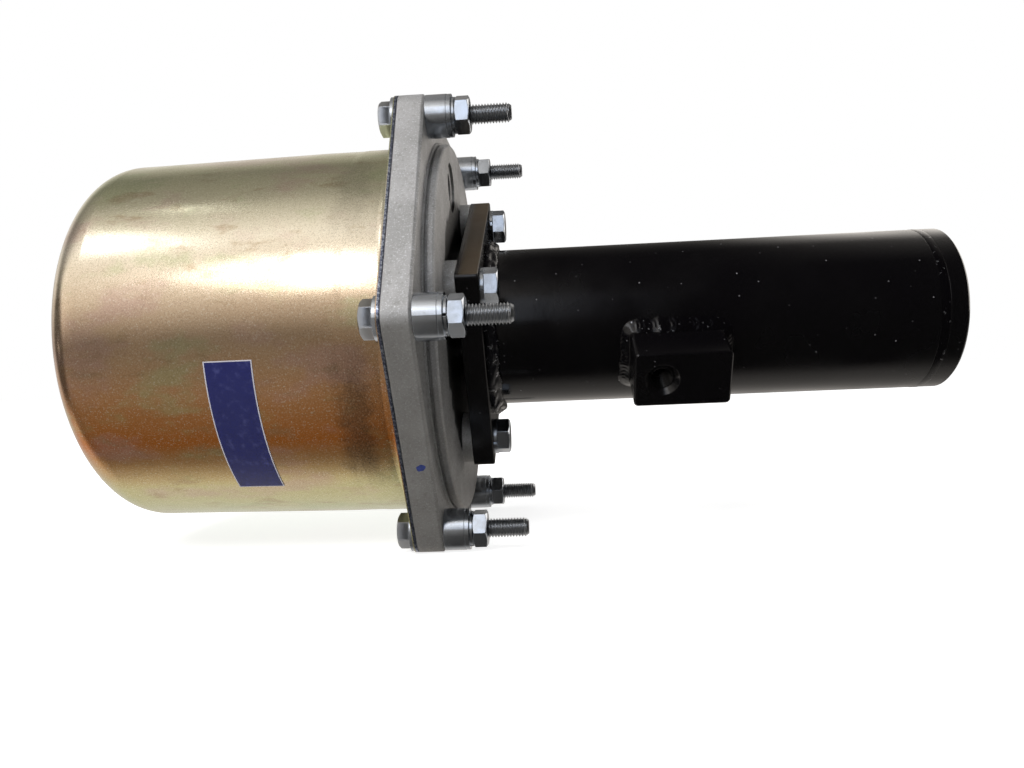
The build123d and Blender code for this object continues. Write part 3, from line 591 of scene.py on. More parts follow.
@dataclass(frozen=True)
class PrintedFilm(Finish):
    """A navy self-adhesive film, bare, with a thin pale border: satin, with faint scuffs."""

    name: str = "navy_label_film"
    colour: str = "#141b60"
    border: str = "#c9c6cf"
    border_mm: float = 0.55
    start_mm: float = -104.5
    end_mm: float = -85.2
    radius_mm: float = 84.2
    top_deg: float = -8.3
    bottom_deg: float = -50.6

    def sockets(self, add: AddNode) -> dict:
        """Makes navy inside a pale border that follows the film's four edges.

        Args:
            add: Adds a node to the material.

        Returns:
            The shader's inputs by name, and the relief's Height.
        """
        where = add("TexCoord", output="Object")
        along, _, angle = about_axis(add)
        left = add("Math", (along, self.start_mm * MM), **MINUS)
        right = add("Math", (self.end_mm * MM, along), **MINUS)
        below_top = add("Math", (math.radians(self.top_deg), angle), **MINUS)
        above_bottom = add("Math", (angle, math.radians(self.bottom_deg)), **MINUS)
        ends = (add("Math", (arc, self.radius_mm * MM), **TIMES) for arc in (below_top, above_bottom))
        inset = add("Math", (add("Math", (left, right), **LEAST), add("Math", tuple(ends), **LEAST)), **LEAST)
        rim = add("MapRange", (inset, self.border_mm * MM, (self.border_mm - 0.25) * MM), **SMOOTH)
        scuffs = add("TexNoise", sized(add("Mapping", {"Vector": where, "Scale": (1.0, 0.3, 1.0)}), 3.0, 4.0))
        navy = lay_over(add, linear(self.colour), [(scuffs, 0.5, 0.8, 0.5, "#4a4f8c")])
        return {
            "Base Color": add("Mix", (rim, navy, linear(self.border)), **COLOURS),
            "Roughness": add("MapRange", (scuffs, 0.3, 0.8, 0.34, 0.5), **SMOOTH),
            "Height": add("TexNoise", sized(where, 5.0)),
        }


@dataclass(frozen=True)
class MouldedRubber(Finish):
    """Moulded nitrile rubber: near black, dull, with a faint bloom."""

    name: str = "moulded_nitrile_rubber"
    relief_mm: float = 0.01
    edge_mm: float = 0.3

    def sockets(self, add: AddNode) -> dict:
        """Makes dull black with a grey bloom.

        Args:
            add: Adds a node to the material.

        Returns:
            The shader's inputs by name, and the relief's Height.
        """
        where = add("TexCoord", output="Object")
        bloom = add("TexNoise", sized(where, 6.0, 3.0))
        return {
            "Base Color": lay_over(add, linear("#171717"), [(bloom, 0.4, 0.8, 0.4, "#3a3a39")]),
            "Roughness": 0.62,
            "Height": add("TexNoise", sized(where, 0.5, 1.0)),
        }


@dataclass(frozen=True)
class EvenFinish(Finish):
    """A finish that is alike all over: one pattern shades its colour or its gloss, and gives its relief.

    The pattern is stretched into rings about the axis where round_share is small. The shade is a colour, with
    the pattern's values at which it starts and is full.
    """

    colour: str = "#808080"
    shade: Optional[tuple[float, float, str]] = None
    pattern_mm: float = 1.2
    detail: float = 3.0
    round_share: float = 1.0
    metallic: float = 0.0
    dullest: float = 0.5
    glossiest: Optional[float] = None

    def sockets(self, add: AddNode) -> dict:
        """Makes the pattern and what it shades.

        Args:
            add: Adds a node to the material.

        Returns:
            The shader's inputs by name, and the relief's Height.
        """
        where = add("TexCoord", output="Object")
        if self.round_share < 1:
            where = add("Mapping", {"Vector": where, "Scale": (1.0, self.round_share, self.round_share)})
        pattern = add("TexNoise", sized(where, self.pattern_mm, self.detail))
        colour, roughness = linear(self.colour), self.dullest
        if self.shade:
            start, end, shade = self.shade
            colour = lay_over(add, colour, [(pattern, start, end, 1.0, shade)])
        if self.glossiest is not None:
            roughness = add("MapRange", (pattern, 0.3, 0.7, self.glossiest, self.dullest), **SMOOTH)
        return {"Base Color": colour, "Metallic": self.metallic, "Roughness": roughness, "Height": pattern}


PASSIVATED = YellowPassivatedSteel()
CAST = SandCastAluminium()
ZINC = BrightZincPlate()
ROLLED_THREAD = BrightZincPlate("rolled_zinc_thread", colour="#b9bdc2", roughness=0.3, edge_mm=0.05)
BLACK = GlossBlackPaint()
# The flange's upper near side carries a painted reflection of the light from above.
BLACK_FLANGE = GlossBlackPaint("flange_with_painted_reflection", painted_reflection_side=PaintedReflectionSide(118.8, 47.35, -8.0))
BLACK_WELD = GlossBlackPaint(
    "painted_weld", colour="#060507", roughness=0.1, dust_mm=1.6, chips=0.7, edge_mm=0.0
)
BARE_WELD = GlossBlackPaint(
    "half_painted_weld", colour="#121114", roughness=0.2, dust_mm=1.8, chips=1.2, edge_mm=0.0
)
RUBBER = MouldedRubber()
LABEL_FILM = PrintedFilm()
# Oil-filled sintered bronze: brown gold, with open pores. They are about 0.05 mm, so they are drawn at 0.4
# mm.
BRONZE = EvenFinish(
    "sintered_bronze", edge_mm=0.2, colour="#a5834a", shade=(0.45, 0.3, "#5d4524"), pattern_mm=0.4,
    detail=1.0, metallic=1.0, dullest=0.42,
)
# Ground and hard-chromed steel: a sharp mirror with faint grinding rings, drawn at 0.8 mm as the real ones
# are too fine to show.
CHROME = EvenFinish(
    "ground_hard_chrome", relief_mm=0.004, edge_mm=0.3, colour="#c9ccd1", pattern_mm=0.8, detail=2.0,
    round_share=0.02, metallic=1.0, dullest=0.16, glossiest=0.08,
)
# Aluminium turned in a lathe: pale metal with feed marks of about 0.15 mm, drawn at 0.6 mm so that they show.
TURNED = EvenFinish(
    "turned_aluminium", relief_mm=0.01, edge_mm=0.4, colour="#c2c4c6", pattern_mm=0.6, detail=2.0,
    round_share=0.03, metallic=1.0, dullest=0.4, glossiest=0.26,
)
# Oil-tempered spring wire: blue black scale with a thin oily shine.
WIRE = EvenFinish(
    "oil_tempered_wire", colour="#23252a", shade=(0.4, 0.7, "#3b3c40"), pattern_mm=3.0, metallic=0.7,
    dullest=0.4,
)
# Bronze-filled plastic strip: brown, satin, slightly mottled.
GUIDE_STRIP = EvenFinish("filled_guide_strip", colour="#6a4d30", shade=(0.35, 0.7, "#59402a"), dullest=0.55)
# Inspector's marking paint: flat blue, slightly mottled.
BLUE_MARK = EvenFinish("blue_marking_paint", colour="#20306f", shade=(0.35, 0.7, "#2b3d86"), dullest=0.45)


# ---- mesh making --------------------------------------------------------------------------------


def on_axis(x: float, radius: float, angle: float) -> Vector:
    """A point about the chamber's axis: x and radius in millimetres, angle in radians from +Y towards +Z."""
    return Vector((x, radius * math.cos(angle), radius * math.sin(angle))) * MM


def bridge(mesh: Mesh, loops: Sequence[Ring], closed: bool) -> None:
    """Joins loops of equal length with quads.

    Args:
        mesh: The mesh that holds them.
        loops: The loops in order.
        closed: True where the last loop meets the first again, and False where both ends are capped.
    """
    count = len(loops[0])
    pairs = list(zip(loops, loops[1:]))
    if closed:
        pairs.append((loops[-1], loops[0]))
    for first, second in pairs:
        for i in range(count):
            j = (i + 1) % count
            mesh.faces.new((first[i], first[j], second[j], second[i]))
    if not closed:
        mesh.faces.new(loops[0])
        mesh.faces.new(loops[-1])


def finish_mesh(
    name: str,
    mesh: Mesh,
    finish: Finish,
    slot: str,
    replaced: Sequence[str] = (),
    crease_deg: float = 35.0,
    body: Body = Body.CHAMBER,
) -> bpy.types.Object:
    """Turns a mesh into a dressed piece that rides on its body.

    Args:
        name: The piece's name.
        mesh: Its geometry, in metres.
        finish: What its surface is.
        slot: Not used.
        replaced: The CAD nodes that it stands for.
        crease_deg: The angle above which an edge stays sharp.
        body: The body that it moves with.

    Returns:
        The new object.
    """
    bmesh.ops.recalc_face_normals(mesh, faces=mesh.faces)
    for face in mesh.faces:
        face.smooth = True
    for edge in mesh.edges:
        if len(edge.link_faces) == 2 and edge.calc_face_angle(0.0) > math.radians(crease_deg):
            edge.smooth = False
    data = bpy.data.meshes.new(name)
    mesh.to_mesh(data)
    mesh.free()
    piece = bpy.data.objects.new(name, data)
    bpy.context.scene.collection.objects.link(piece)
    data.materials.append(finish.material())
    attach(piece, body.value)
    if replaced:
        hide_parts(*replaced)
    log.info("%s: %d faces", name, len(data.polygons))
    return piece


def dress(finish: Finish, *nodes: str) -> None:
    """Gives CAD nodes whose shape is right their finish.

    Args:
        finish: What their surface is.
        *nodes: The nodes' names.
    """
    for node in nodes:
        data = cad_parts[node].data
        data.materials.clear()
        data.materials.append(finish.material())
        log.info("%s: %s", node, finish.name)


def revolve_section(
    mesh: Mesh,
    section: Callable[[float], Sequence[Point]],
    steps: int,
    to_place: Callable[[float, float, float], Vector],
) -> None:
    """Sweeps a closed section round a full turn, where the section may change on the way.

    Args:
        mesh: The mesh that receives the faces.
        section: Gives the section's (along, out) points at an angle.
        steps: How many sections the turn has.
        to_place: Turns (along, out, angle) into a place.
    """
    rows = []
    for i in range(steps):
        angle = FULL_TURN * i / steps
        rows.append([mesh.verts.new(to_place(along, out, angle)) for along, out in section(angle)])
    bridge(mesh, rows, closed=True)


@dataclass(frozen=True)
class Thread:
    """A rolled or cut thread along +X: a helical groove with truncated crests.

    It has the crests' and the roots' radius and its pitch in millimetres, and the points that a turn has.
    """

    major: float
    minor: float
    pitch: float
    steps: int = 40
    rows_per_turn: int = 10

    def radius(self, along: float, angle: float) -> float:
        """The thread's radius at a distance along it and an angle about it.

        Args:
            along: The distance, in millimetres.
            angle: The angle, in radians.

        Returns:
            The radius, in millimetres.
        """
        phase = (along / self.pitch - angle / FULL_TURN) % 1.0
        if phase < 0.16:
            share = 1.0
        elif phase < 0.44:
            share = (0.44 - phase) / 0.28
        elif phase < 0.72:
            share = 0.0
        else:
            share = (phase - 0.72) / 0.28
        return self.minor + share * (self.major - self.minor)

    def rows(self, length: float, limit: Callable[[float], float]) -> list[tuple[float, list[float]]]:
        """The thread's surface as rows of radii.

        Args:
            length: How long the thread is, in millimetres.
            limit: The most that the radius may be at a distance along it.

        Returns:
            Each row's distance along the thread and its radii.
        """
        count = max(2, round(length / self.pitch * self.rows_per_turn))
        angles = [FULL_TURN * i / self.steps for i in range(self.steps)]
        result = []
        for row in range(count + 1):
            along = length * row / count
            result.append((along, [min(self.radius(along, angle), limit(along)) for angle in angles]))
        return result


@dataclass(frozen=True)
class TappedHole:
    """A tapped hole's thread, with the radius of the solid's plain hole and the depth of the thread."""

    name: str
    thread: Thread
    wall_radius: float
    depth: float

    def line(
        self, mouth: Vector, inward: Vector, finish: Finish, slot: str, body: Body = Body.CHAMBER
    ) -> bpy.types.Object:
        """Lines the hole with its thread.

        Args:
            mouth: The middle of the hole's mouth, in millimetres.
            inward: The direction into the hole.
            finish: What its surface is.
            slot: The record's material slot.
            body: The body that it moves with.

        Returns:
            The new object.
        """
        turn = Vector((1, 0, 0)).rotation_difference(inward).to_matrix()
        wall = [self.wall_radius - 0.01] * self.thread.steps
        rows = self.thread.rows(self.depth, lambda along: self.thread.major)
        mesh = bmesh.new()
        loops = []
        for along, radii in [(0.0, wall), *rows, (self.depth, wall)]:
            loop = []
            for i, radius in enumerate(radii):
                angle = FULL_TURN * i / len(radii)
                offset = turn @ Vector((along, radius * math.cos(angle), radius * math.sin(angle)))
                loop.append(mesh.verts.new((mouth + offset) * MM))
            loops.append(loop)
        bridge(mesh, loops, closed=True)
        return finish_mesh(self.name, mesh, finish, slot, body=body)


@dataclass(frozen=True)
class RingBead:
    """A fillet weld round a cylinder: its seat, its leg, which way it runs, its ripples and its lumps."""

    seat_x: float
    radius: float
    leg: float
    side: int
    ripples: int
    lumps: float = 1.0
    outline_points: int = 12
    steps_per_ripple: int = 8

    def section(self, angle: float) -> list[Point]:
        """The fillet's outline, with the ripple leaning back along the bead's edges.

        Args:
            angle: The angle about the axis, in radians.

        Returns:
            The outline's points, along the axis and out from the cylinder.
        """
        outline = [(-0.4, -0.4)]
        for k in range(self.outline_points + 1):
            share = k / self.outline_points
            lean = 1.4 * (1 - (2 * share - 1) ** 2)
            phase = (angle * self.ripples / FULL_TURN + lean) % 1.0
            swell = 0.10 * self.leg * (1 - phase) * math.sin(math.pi * share)
            spot = Vector((math.cos(angle), math.sin(angle), 0.4 * share)) * 6
            wander = 0.05 * self.lumps * self.leg * noise.noise(spot)
            turn = share * math.pi / 2
            reach = self.leg * (0.90 + 0.06 * math.sin(2 * turn)) + wander
            bulge = 0.80 + 0.12 * abs(math.cos(2 * turn))
            lift = swell * 0.7
            outline.append((reach * bulge * math.cos(turn) + lift, reach * bulge * math.sin(turn) + lift))
        return outline

    def add(self, name: str, finish: Finish, slot: str, node: str) -> bpy.types.Object:
        """Makes the bead about the chamber's axis.

        Args:
            name: The piece's name.
            finish: What its surface is.
            slot: The record's material slot.
            node: The CAD node that it stands for.

        Returns:
            The new object.
        """
        mesh = bmesh.new()
        revolve_section(
            mesh,
            self.section,
            self.ripples * self.steps_per_ripple,
            lambda along, out, angle: on_axis(self.seat_x + self.side * along, self.radius + out, angle),
        )
        return finish_mesh(name, mesh, finish, slot, [node], crease_deg=60)


# ---- sub-assemblies -----------------------------------------------------------------------------


@dataclass
class FlangeFasteners:
    """The six M8 bolts through cup and cover, with their washers, sleeves and nuts."""

    circle_radius: float = 100.0
    head_seat: float = -32.3
    head_height: float = 5.5
    across_flats: float = 13.0
    nut_face: float = 0.0
    tip: float = 17.2
    tip_radius: float = 2.8
    shank_radius: float = 3.59
    turns_deg: tuple[float, ...] = (15, -20, 3, -3, -8, 25)
    thread: Thread = Thread(3.98, 3.3, 1.25)
    head_steps: int = 60

    def build(self) -> None:
        """Makes the threaded bolts and dresses the plain hardware."""
        mesh = bmesh.new()
        for index, turn in enumerate(self.turns_deg):
            centre = on_axis(0, self.circle_radius, math.radians(60 * index))
            self._add_bolt(mesh, centre, math.radians(turn))
        finish_mesh("flange_bolts_threaded", mesh, ROLLED_THREAD, "plated_steel", ["flange_bolts"])
        dress(ZINC, "bolt_head_washers", "spacer_sleeves", "flat_washers", "spring_washers", "flange_nuts")

    def _add_bolt(self, mesh: Mesh, centre: Vector, turn: float) -> None:
        """Adds one bolt.

        Args:
            mesh: The mesh that receives it.
            centre: A point on its axis.
            turn: How far its head is turned, in radians.
        """

        def ring(places: Union[float, Sequence[float]], radii: Sequence[float]) -> Ring:
            """Adds one loop about the bolt's axis.

            Args:
                places: One place along the axis, or a list with a place for each point.
                radii: Each point's distance from the axis.

            Returns:
                The loop.
            """
            loop = []
            for i, radius in enumerate(radii):
                x = places[i] if isinstance(places, list) else places
                angle = FULL_TURN * i / len(radii) + turn
                offset = Vector((x, -radius * math.cos(angle), -radius * math.sin(angle))) * MM
                loop.append(mesh.verts.new(centre + offset))
            return loop

        steps = self.head_steps
        half = self.across_flats / 2
        corner = half / math.cos(math.radians(30))
        face_x = self.head_seat - self.head_height
        sixth = FULL_TURN / 6
        turns = [(FULL_TURN * i / steps + sixth / 2) % sixth - sixth / 2 for i in range(steps)]
        flats = [half / math.cos(local) for local in turns]
        bevel_start = half * 0.94
        bevelled = [face_x + (flat - bevel_start) * math.tan(math.radians(28)) for flat in flats]
        loops = [
            ring(face_x + 0.5, [bevel_start * 0.72] * steps),
            ring(face_x + 0.12, [bevel_start * 0.78] * steps),
            ring(face_x, [bevel_start * 0.86] * steps),
            ring(face_x, [bevel_start] * steps),
            ring(bevelled, flats),
            ring(self.head_seat - 0.3, flats),
            ring(self.head_seat, [min(flat, corner * 0.98) - 0.2 for flat in flats]),
            ring(self.head_seat, [self.shank_radius] * steps),
            ring(self.nut_face - 0.2, [self.shank_radius] * steps),
        ]
        bridge(mesh, loops, closed=False)
        start = self.nut_face - 1.0
        length = self.tip - start
        rows = self.thread.rows(length, lambda along: self.tip_radius + max(0.0, length - along) * 0.7)
        bridge(mesh, [ring(start + along, radii) for along, radii in rows], closed=False)


@dataclass
class DrawnCup:
    """The deep-drawn cup with its welded air inlet and its bare label."""

    inlet: TappedHole = TappedHole("air_inlet_thread", Thread(8.28, 7.5, 1.34, 64), 8.33, 13.0)
    inlet_mouth: float = -186.0
    inlet_bead: RingBead = RingBead(-172.0, 17.0, 4.0, -1, 54)

    def build(self) -> None:
        """Dresses the cup and adds the inlet's thread and weld."""
        dress(PASSIVATED, "cylinder_cup", "inlet_boss")
        dress(LABEL_FILM, "label")
        dress(RUBBER, "cover_seal")
        slot = "yellow_zinc_steel"
        self.inlet.line(Vector((self.inlet_mouth, 0, 0)), Vector((1, 0, 0)), PASSIVATED, slot)
        self.inlet_bead.add("inlet_weld_bead", PASSIVATED, slot, "inlet_weld")


@dataclass
class CastCover:
    """The sand-cast cover with its pads, vent and rod bush."""

    vent: TappedHole = TappedHole("vent_port_thread", Thread(6.54, 5.85, 1.34, 56), 6.58, 12.0)
    vent_mouth: tuple[float, float, float] = (-14.8, -20.8, 63.27)
    mark_x: float = -22.6
    mark_height: float = 10.4
    mark_radius: float = 1.7
    mark_side_deg: float = 30.0
    half_across_flats: float = 95.8

    def build(self) -> None:
        """Dresses the casting and adds the vent's thread and the inspection mark."""
        dress(CAST, "end_cover")
        dress(BRONZE, "rod_bush")
        self.vent.line(Vector(self.vent_mouth), Vector((-1, 0, 0)), CAST, "cast_aluminium")
        self._add_mark()

    def _add_mark(self) -> None:
        """Adds the dab of blue marking paint on the plate's lower near side."""
        cosine, sine = math.cos(math.radians(self.mark_side_deg)), math.sin(math.radians(self.mark_side_deg))
        normal = Vector((0, -cosine, -sine))
        upward = Vector((0, -sine, cosine))
        middle = normal * self.half_across_flats - upward * self.mark_height + Vector((self.mark_x, 0, 0))
        mesh = bmesh.new()
        loops = []
        for share, lift in ((1.0, -0.05), (0.97, 0.06), (0.7, 0.12), (0.35, 0.15)):
            loop = []
            for i in range(28):
                angle = FULL_TURN * i / 28
                ragged = 1 + 0.16 * math.sin(2 * angle + 0.6) + 0.07 * math.sin(5 * angle)
                radius = share * self.mark_radius * ragged
                across = Vector((math.cos(angle) * radius, 0, 0)) + upward * (math.sin(angle) * radius)
                loop.append(mesh.verts.new((middle + across + normal * lift) * MM))
            loops.append(loop)
        bridge(mesh, loops, closed=False)
        finish_mesh("blue_inspection_mark", mesh, BLUE_MARK, "label_film")


@dataclass
class SpringTube:
    """The welded tube with its square flange, end cap, bracket and beads."""

    radius: float = 36.5
    flange_bead: RingBead = RingBead(1.4, 36.5, 6.0, 1, 34, 3.5)
    seam_x: float = 197.0
    seam_half_width: float = 1.85
    seam_steps: int = 220
    bracket_angle_deg: float = 208.8
    bracket_middle: float = 83.6
    bracket_length: float = 40.2
    bracket_height: float = 24.8
    bracket_corner: float = 2.0
    hole_x: float = 75.2
    hole_mouth: float = 54.6
    hole: TappedHole = TappedHole("bracket_hole_thread", Thread(4.96, 4.25, 1.5, 48), 5.0, 12.0)
    weld_leg: float = 5.3
    weld_rise: float = 3.6

    def build(self) -> None:
        """Dresses the painted pieces and adds the welds."""
        dress(BLACK, "spring_tube", "tube_end_cap", "bracket")
        dress(BLACK_FLANGE, "tube_flange")
        dress(ZINC, "tube_flange_bolts", "tube_flange_washers")
        dress(BRONZE, "end_bush")
        dress(RUBBER, "wiper_ring")
        self.flange_bead.add("tube_flange_bead", BARE_WELD, "black_paint", "tube_flange_weld")
        self._add_seam()
        self._add_bracket_bead()
        outward = self._outward()
        mouth = outward * self.hole_mouth + Vector((self.hole_x, 0, 0))
        self.hole.line(mouth, -outward, BLACK, "black_paint")

    def _outward(self) -> Vector:
        """The direction that the bracket's face looks in."""
        angle = math.radians(self.bracket_angle_deg)
        return Vector((0, math.cos(angle), math.sin(angle)))

    def _seam_section(self, angle: float) -> list[Point]:
        """The cap's low bead, slightly uneven round the tube.

        Args:
            angle: The angle about the axis, in radians.

        Returns:
            The outline's points, along the axis and out from the tube.
        """
        half = self.seam_half_width
        uneven = 0.10 * noise.noise(Vector((math.cos(angle), math.sin(angle), 0.3)) * 9)
        top = 0.12 + uneven * 0.5 + 0.04 * math.sin(110 * angle)
        right = [(half + uneven, -0.02), (half * 0.6, top)]
        left = [(-half * 0.6, top), (-half + uneven, -0.02)]
        return [(0.0, -1.7), *right, (0.0, top + 0.03), *left]

    def _add_seam(self) -> None:
        """Adds the low bead between the tube and its cap."""
        mesh = bmesh.new()
        revolve_section(
            mesh,
            self._seam_section,
            self.seam_steps,
            lambda along, out, angle: on_axis(self.seam_x + along, self.radius + out, angle),
        )
        finish_mesh("end_cap_bead", mesh, BLACK_WELD, "black_paint", ["end_cap_weld"], crease_deg=50)

    def _bracket_path(self) -> list[tuple[Point, Point]]:
        """Walks round the block's foot, whose corners are rounded.

        Returns:
            Places along the chamber and across it, each with its outward normal.
        """
        corner = self.bracket_corner
        half_u = self.bracket_length / 2 - corner
        half_v = self.bracket_height / 2 - corner
        signs = ((1, 1), (-1, 1), (-1, -1), (1, -1))
        corners = [(half_u * right, half_v * up, 90 * turn) for turn, (right, up) in enumerate(signs)]
        path = []
        for index, (u, v, start) in enumerate(corners):
            next_u, next_v, _ = corners[(index + 1) % 4]
            pieces = int(math.hypot(next_u - u, next_v - v) / 0.45)
            spots = [(u, v, start + 15 * k) for k in range(7)]
            for share in [k / pieces for k in range(1, pieces)]:
                spots.append((u + (next_u - u) * share, v + (next_v - v) * share, start + 90))
            for spot_u, spot_v, degrees in spots:
                normal = (math.cos(math.radians(degrees)), math.sin(math.radians(degrees)))
                path.append(((spot_u + corner * normal[0], spot_v + corner * normal[1]), normal))
        return path

    def _add_bracket_bead(self) -> None:
        """Adds the hand-laid fillet round the foot of the bracket."""
        mesh = bmesh.new()
        rows = []
        travelled = 0.0
        last = None
        points = 9
        for (u, v), (normal_u, normal_v) in self._bracket_path():
            if last is not None:
                travelled += math.hypot(u - last[0], v - last[1])
            last = (u, v)
            lumps = noise.noise(Vector((u, v, 3.0)) * 0.22)
            leg = self.weld_leg * (0.86 + 0.22 * lumps)
            rise = self.weld_rise * (0.86 + 0.3 * lumps)
            outline = []
            for k in range(points + 1):
                share = k / points
                lean = 1.2 * (1 - (2 * share - 1) ** 2)
                phase = (travelled / 1.9 + lean) % 1.0
                swell = 0.32 * (1 - phase) * math.sin(math.pi * share)
                lift = rise * (1 - share) ** 1.25 + swell + 0.12 * lumps * math.sin(math.pi * share)
                outline.append((leg * share, lift))
            outline += [(leg, -0.4), (-0.5, -0.4), (-0.5, rise * 0.9)]
            row = [self._on_tube(u + normal_u * away, v + normal_v * away, lift) for away, lift in outline]
            rows.append([mesh.verts.new(corner * MM) for corner in row])
        bridge(mesh, rows, closed=True)
        finish_mesh("bracket_bead", mesh, BLACK_WELD, "black_paint", ["bracket_weld"], crease_deg=70)

    def _on_tube(self, u: float, v: float, lift: float) -> Vector:
        """A point over the tube's surface.

        Args:
            u: The distance along the chamber from the bracket's middle.
            v: The distance across the bracket.
            lift: The height over the tube.

        Returns:
            The point, in millimetres.
        """
        outward = self._outward()
        across = Vector((0, outward.z, -outward.y))
        depth = math.sqrt(self.radius**2 - v**2)
        return Vector((self.bracket_middle + u, 0, 0)) + outward * (depth + lift) + across * v


@dataclass
class PistonRod:
    """The piston, its rod and the spring that brings them back."""

    spring_start: float = 8.0
    spring_end: float = 187.0
    mean_radius: float = 28.0
    wire_radius: float = 3.45
    turns: int = 9
    steps_per_turn: int = 48
    steps_round_wire: int = 14
    stroke: float = 80.0
    rod_mouth: float = 204.8
    rod_hole: TappedHole = TappedHole("rod_end_thread", Thread(6.96, 6.1, 2.0, 56), 7.0, 22.0)

    def build(self) -> None:
        """Dresses the moving pieces and makes the round-wire spring."""
        dress(TURNED, "piston")
        dress(RUBBER, "piston_seal", "rod_seal")
        dress(GUIDE_STRIP, "guide_ring")
        dress(CHROME, "push_rod")
        dress(ZINC, "rod_washer", "rod_nut", "spring_seat")
        dress(WIRE, "seat_ring")
        mouth = Vector((self.rod_mouth, 0, 0))
        self.rod_hole.line(mouth, Vector((-1, 0, 0)), CHROME, "hard_chrome", Body.PISTON_ROD)
        self._add_spring()

    def _add_spring(self) -> None:
        """Adds the return spring at rest, in its own mesh; in use its turns close up as the rod moves out."""
        length = self.spring_end - self.spring_start
        slope = length / (self.turns * FULL_TURN)
        mesh = bmesh.new()
        rows = []
        for i in range(self.turns * self.steps_per_turn + 1):
            angle = FULL_TURN * i / self.steps_per_turn
            along = self.spring_start + slope * angle
            radial = Vector((0, math.cos(angle), math.sin(angle)))
            tangent = Vector((slope, -self.mean_radius * math.sin(angle), self.mean_radius * math.cos(angle)))
            side = tangent.normalized().cross(radial)
            row = []
            for k in range(self.steps_round_wire):
                spin = FULL_TURN * k / self.steps_round_wire
                offset = radial * (self.mean_radius + self.wire_radius * math.cos(spin))
                offset += side * (self.wire_radius * math.sin(spin)) + Vector((along, 0, 0))
                offset.x = min(max(offset.x, self.spring_start), self.spring_end)
                row.append(mesh.verts.new(offset * MM))
            rows.append(row)
        bridge(mesh, rows, closed=False)
        name, slot = "return_spring_coil", "spring_steel"
        spring = finish_mesh(name, mesh, WIRE, slot, ["return_spring"], crease_deg=80)
        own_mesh(spring)


# ---- studio -------------------------------------------------------------------------------------


@dataclass(frozen=True)
class Window:
    """A bright panel just inside the tent, which only mirrors and gloss see.

    Its columns are places along the chamber's axis in metres, each with the lowest and the highest angle
    about the axis in degrees, 0 towards the near side and positive upwards.
    """

    name: str
    level: float
    colour: str
    columns: tuple[tuple[float, float, float], ...]


WINDOWS = (
    Window(
        "window_left",
        2.6,
        "#ffffff",
        ((-0.80, 53, 68), (-0.66, 53, 68), (-0.61, 54, 63), (-0.57, 57, 60)),
    ),
    Window(
        "window_right",
        3.4,
        "#fdfdff",
        (
            (-0.57, 34, 35), (-0.53, 31, 38), (-0.48, 28, 42), (-0.43, 25, 43), (-0.36, 23, 45),
            (-0.23, 23, 44),
        ),
    ),
    Window("window_edge", 1.6, "#e8f0ff", ((-0.135, 6, 38), (-0.03, 6, 38))),
    Window("skylight", 3.0, "#ffffff", ((-0.60, 81.5, 82), (-0.55, 81, 84), (-0.50, 81.5, 82))),
    Window("lamp_across_room", 0.35, "#eef2ff", ((0.03, 31, 41), (0.06, 29, 43), (0.09, 32, 40))),
)


class Wall(Enum):
    """How bright one stretch of the tent is, as angles about the axis in degrees with their levels."""

    FAR_END = ((-180, 0.12), (180, 0.14))
    CUP_SIDE = (
        (-176, 0.7), (-100, 0.8), (-80, 0.25), (-35, 0.4), (0, 0.25), (25, 1.0), (60, 1.2), (90, 0.4),
        (120, 0.25), (150, 0.9), (176, 0.5),
    )
    FLANGE_SIDE = (
        (-120, 0.6), (-90, 0.05), (-30, 0.05), (0, 0.3), (30, 1.8), (50, 0.9), (75, 0.3), (176, 0.3),
    )
    TUBE_NEAR = ((-170, 0.1), (-160, 0.7), (-100, 0.4), (-80, 0.02), (110, 0.02), (170, 0.15))
    TUBE_FAR = (
        (-170, 0.1), (-160, 0.5), (-100, 0.4), (-80, 0.02), (70, 0.02), (115, 0.4), (135, 1.8), (176, 1.8),
    )


# The walls from the far left to the right, each with the places in metres where it starts to show and shows
# alone.
WALL_JOINTS = (
    (Wall.CUP_SIDE, -4.0, -2.2),
    (Wall.FLANGE_SIDE, -0.25, -0.21),
    (Wall.TUBE_NEAR, -0.08, -0.05),
    (Wall.TUBE_FAR, 0.26, 0.72),
)


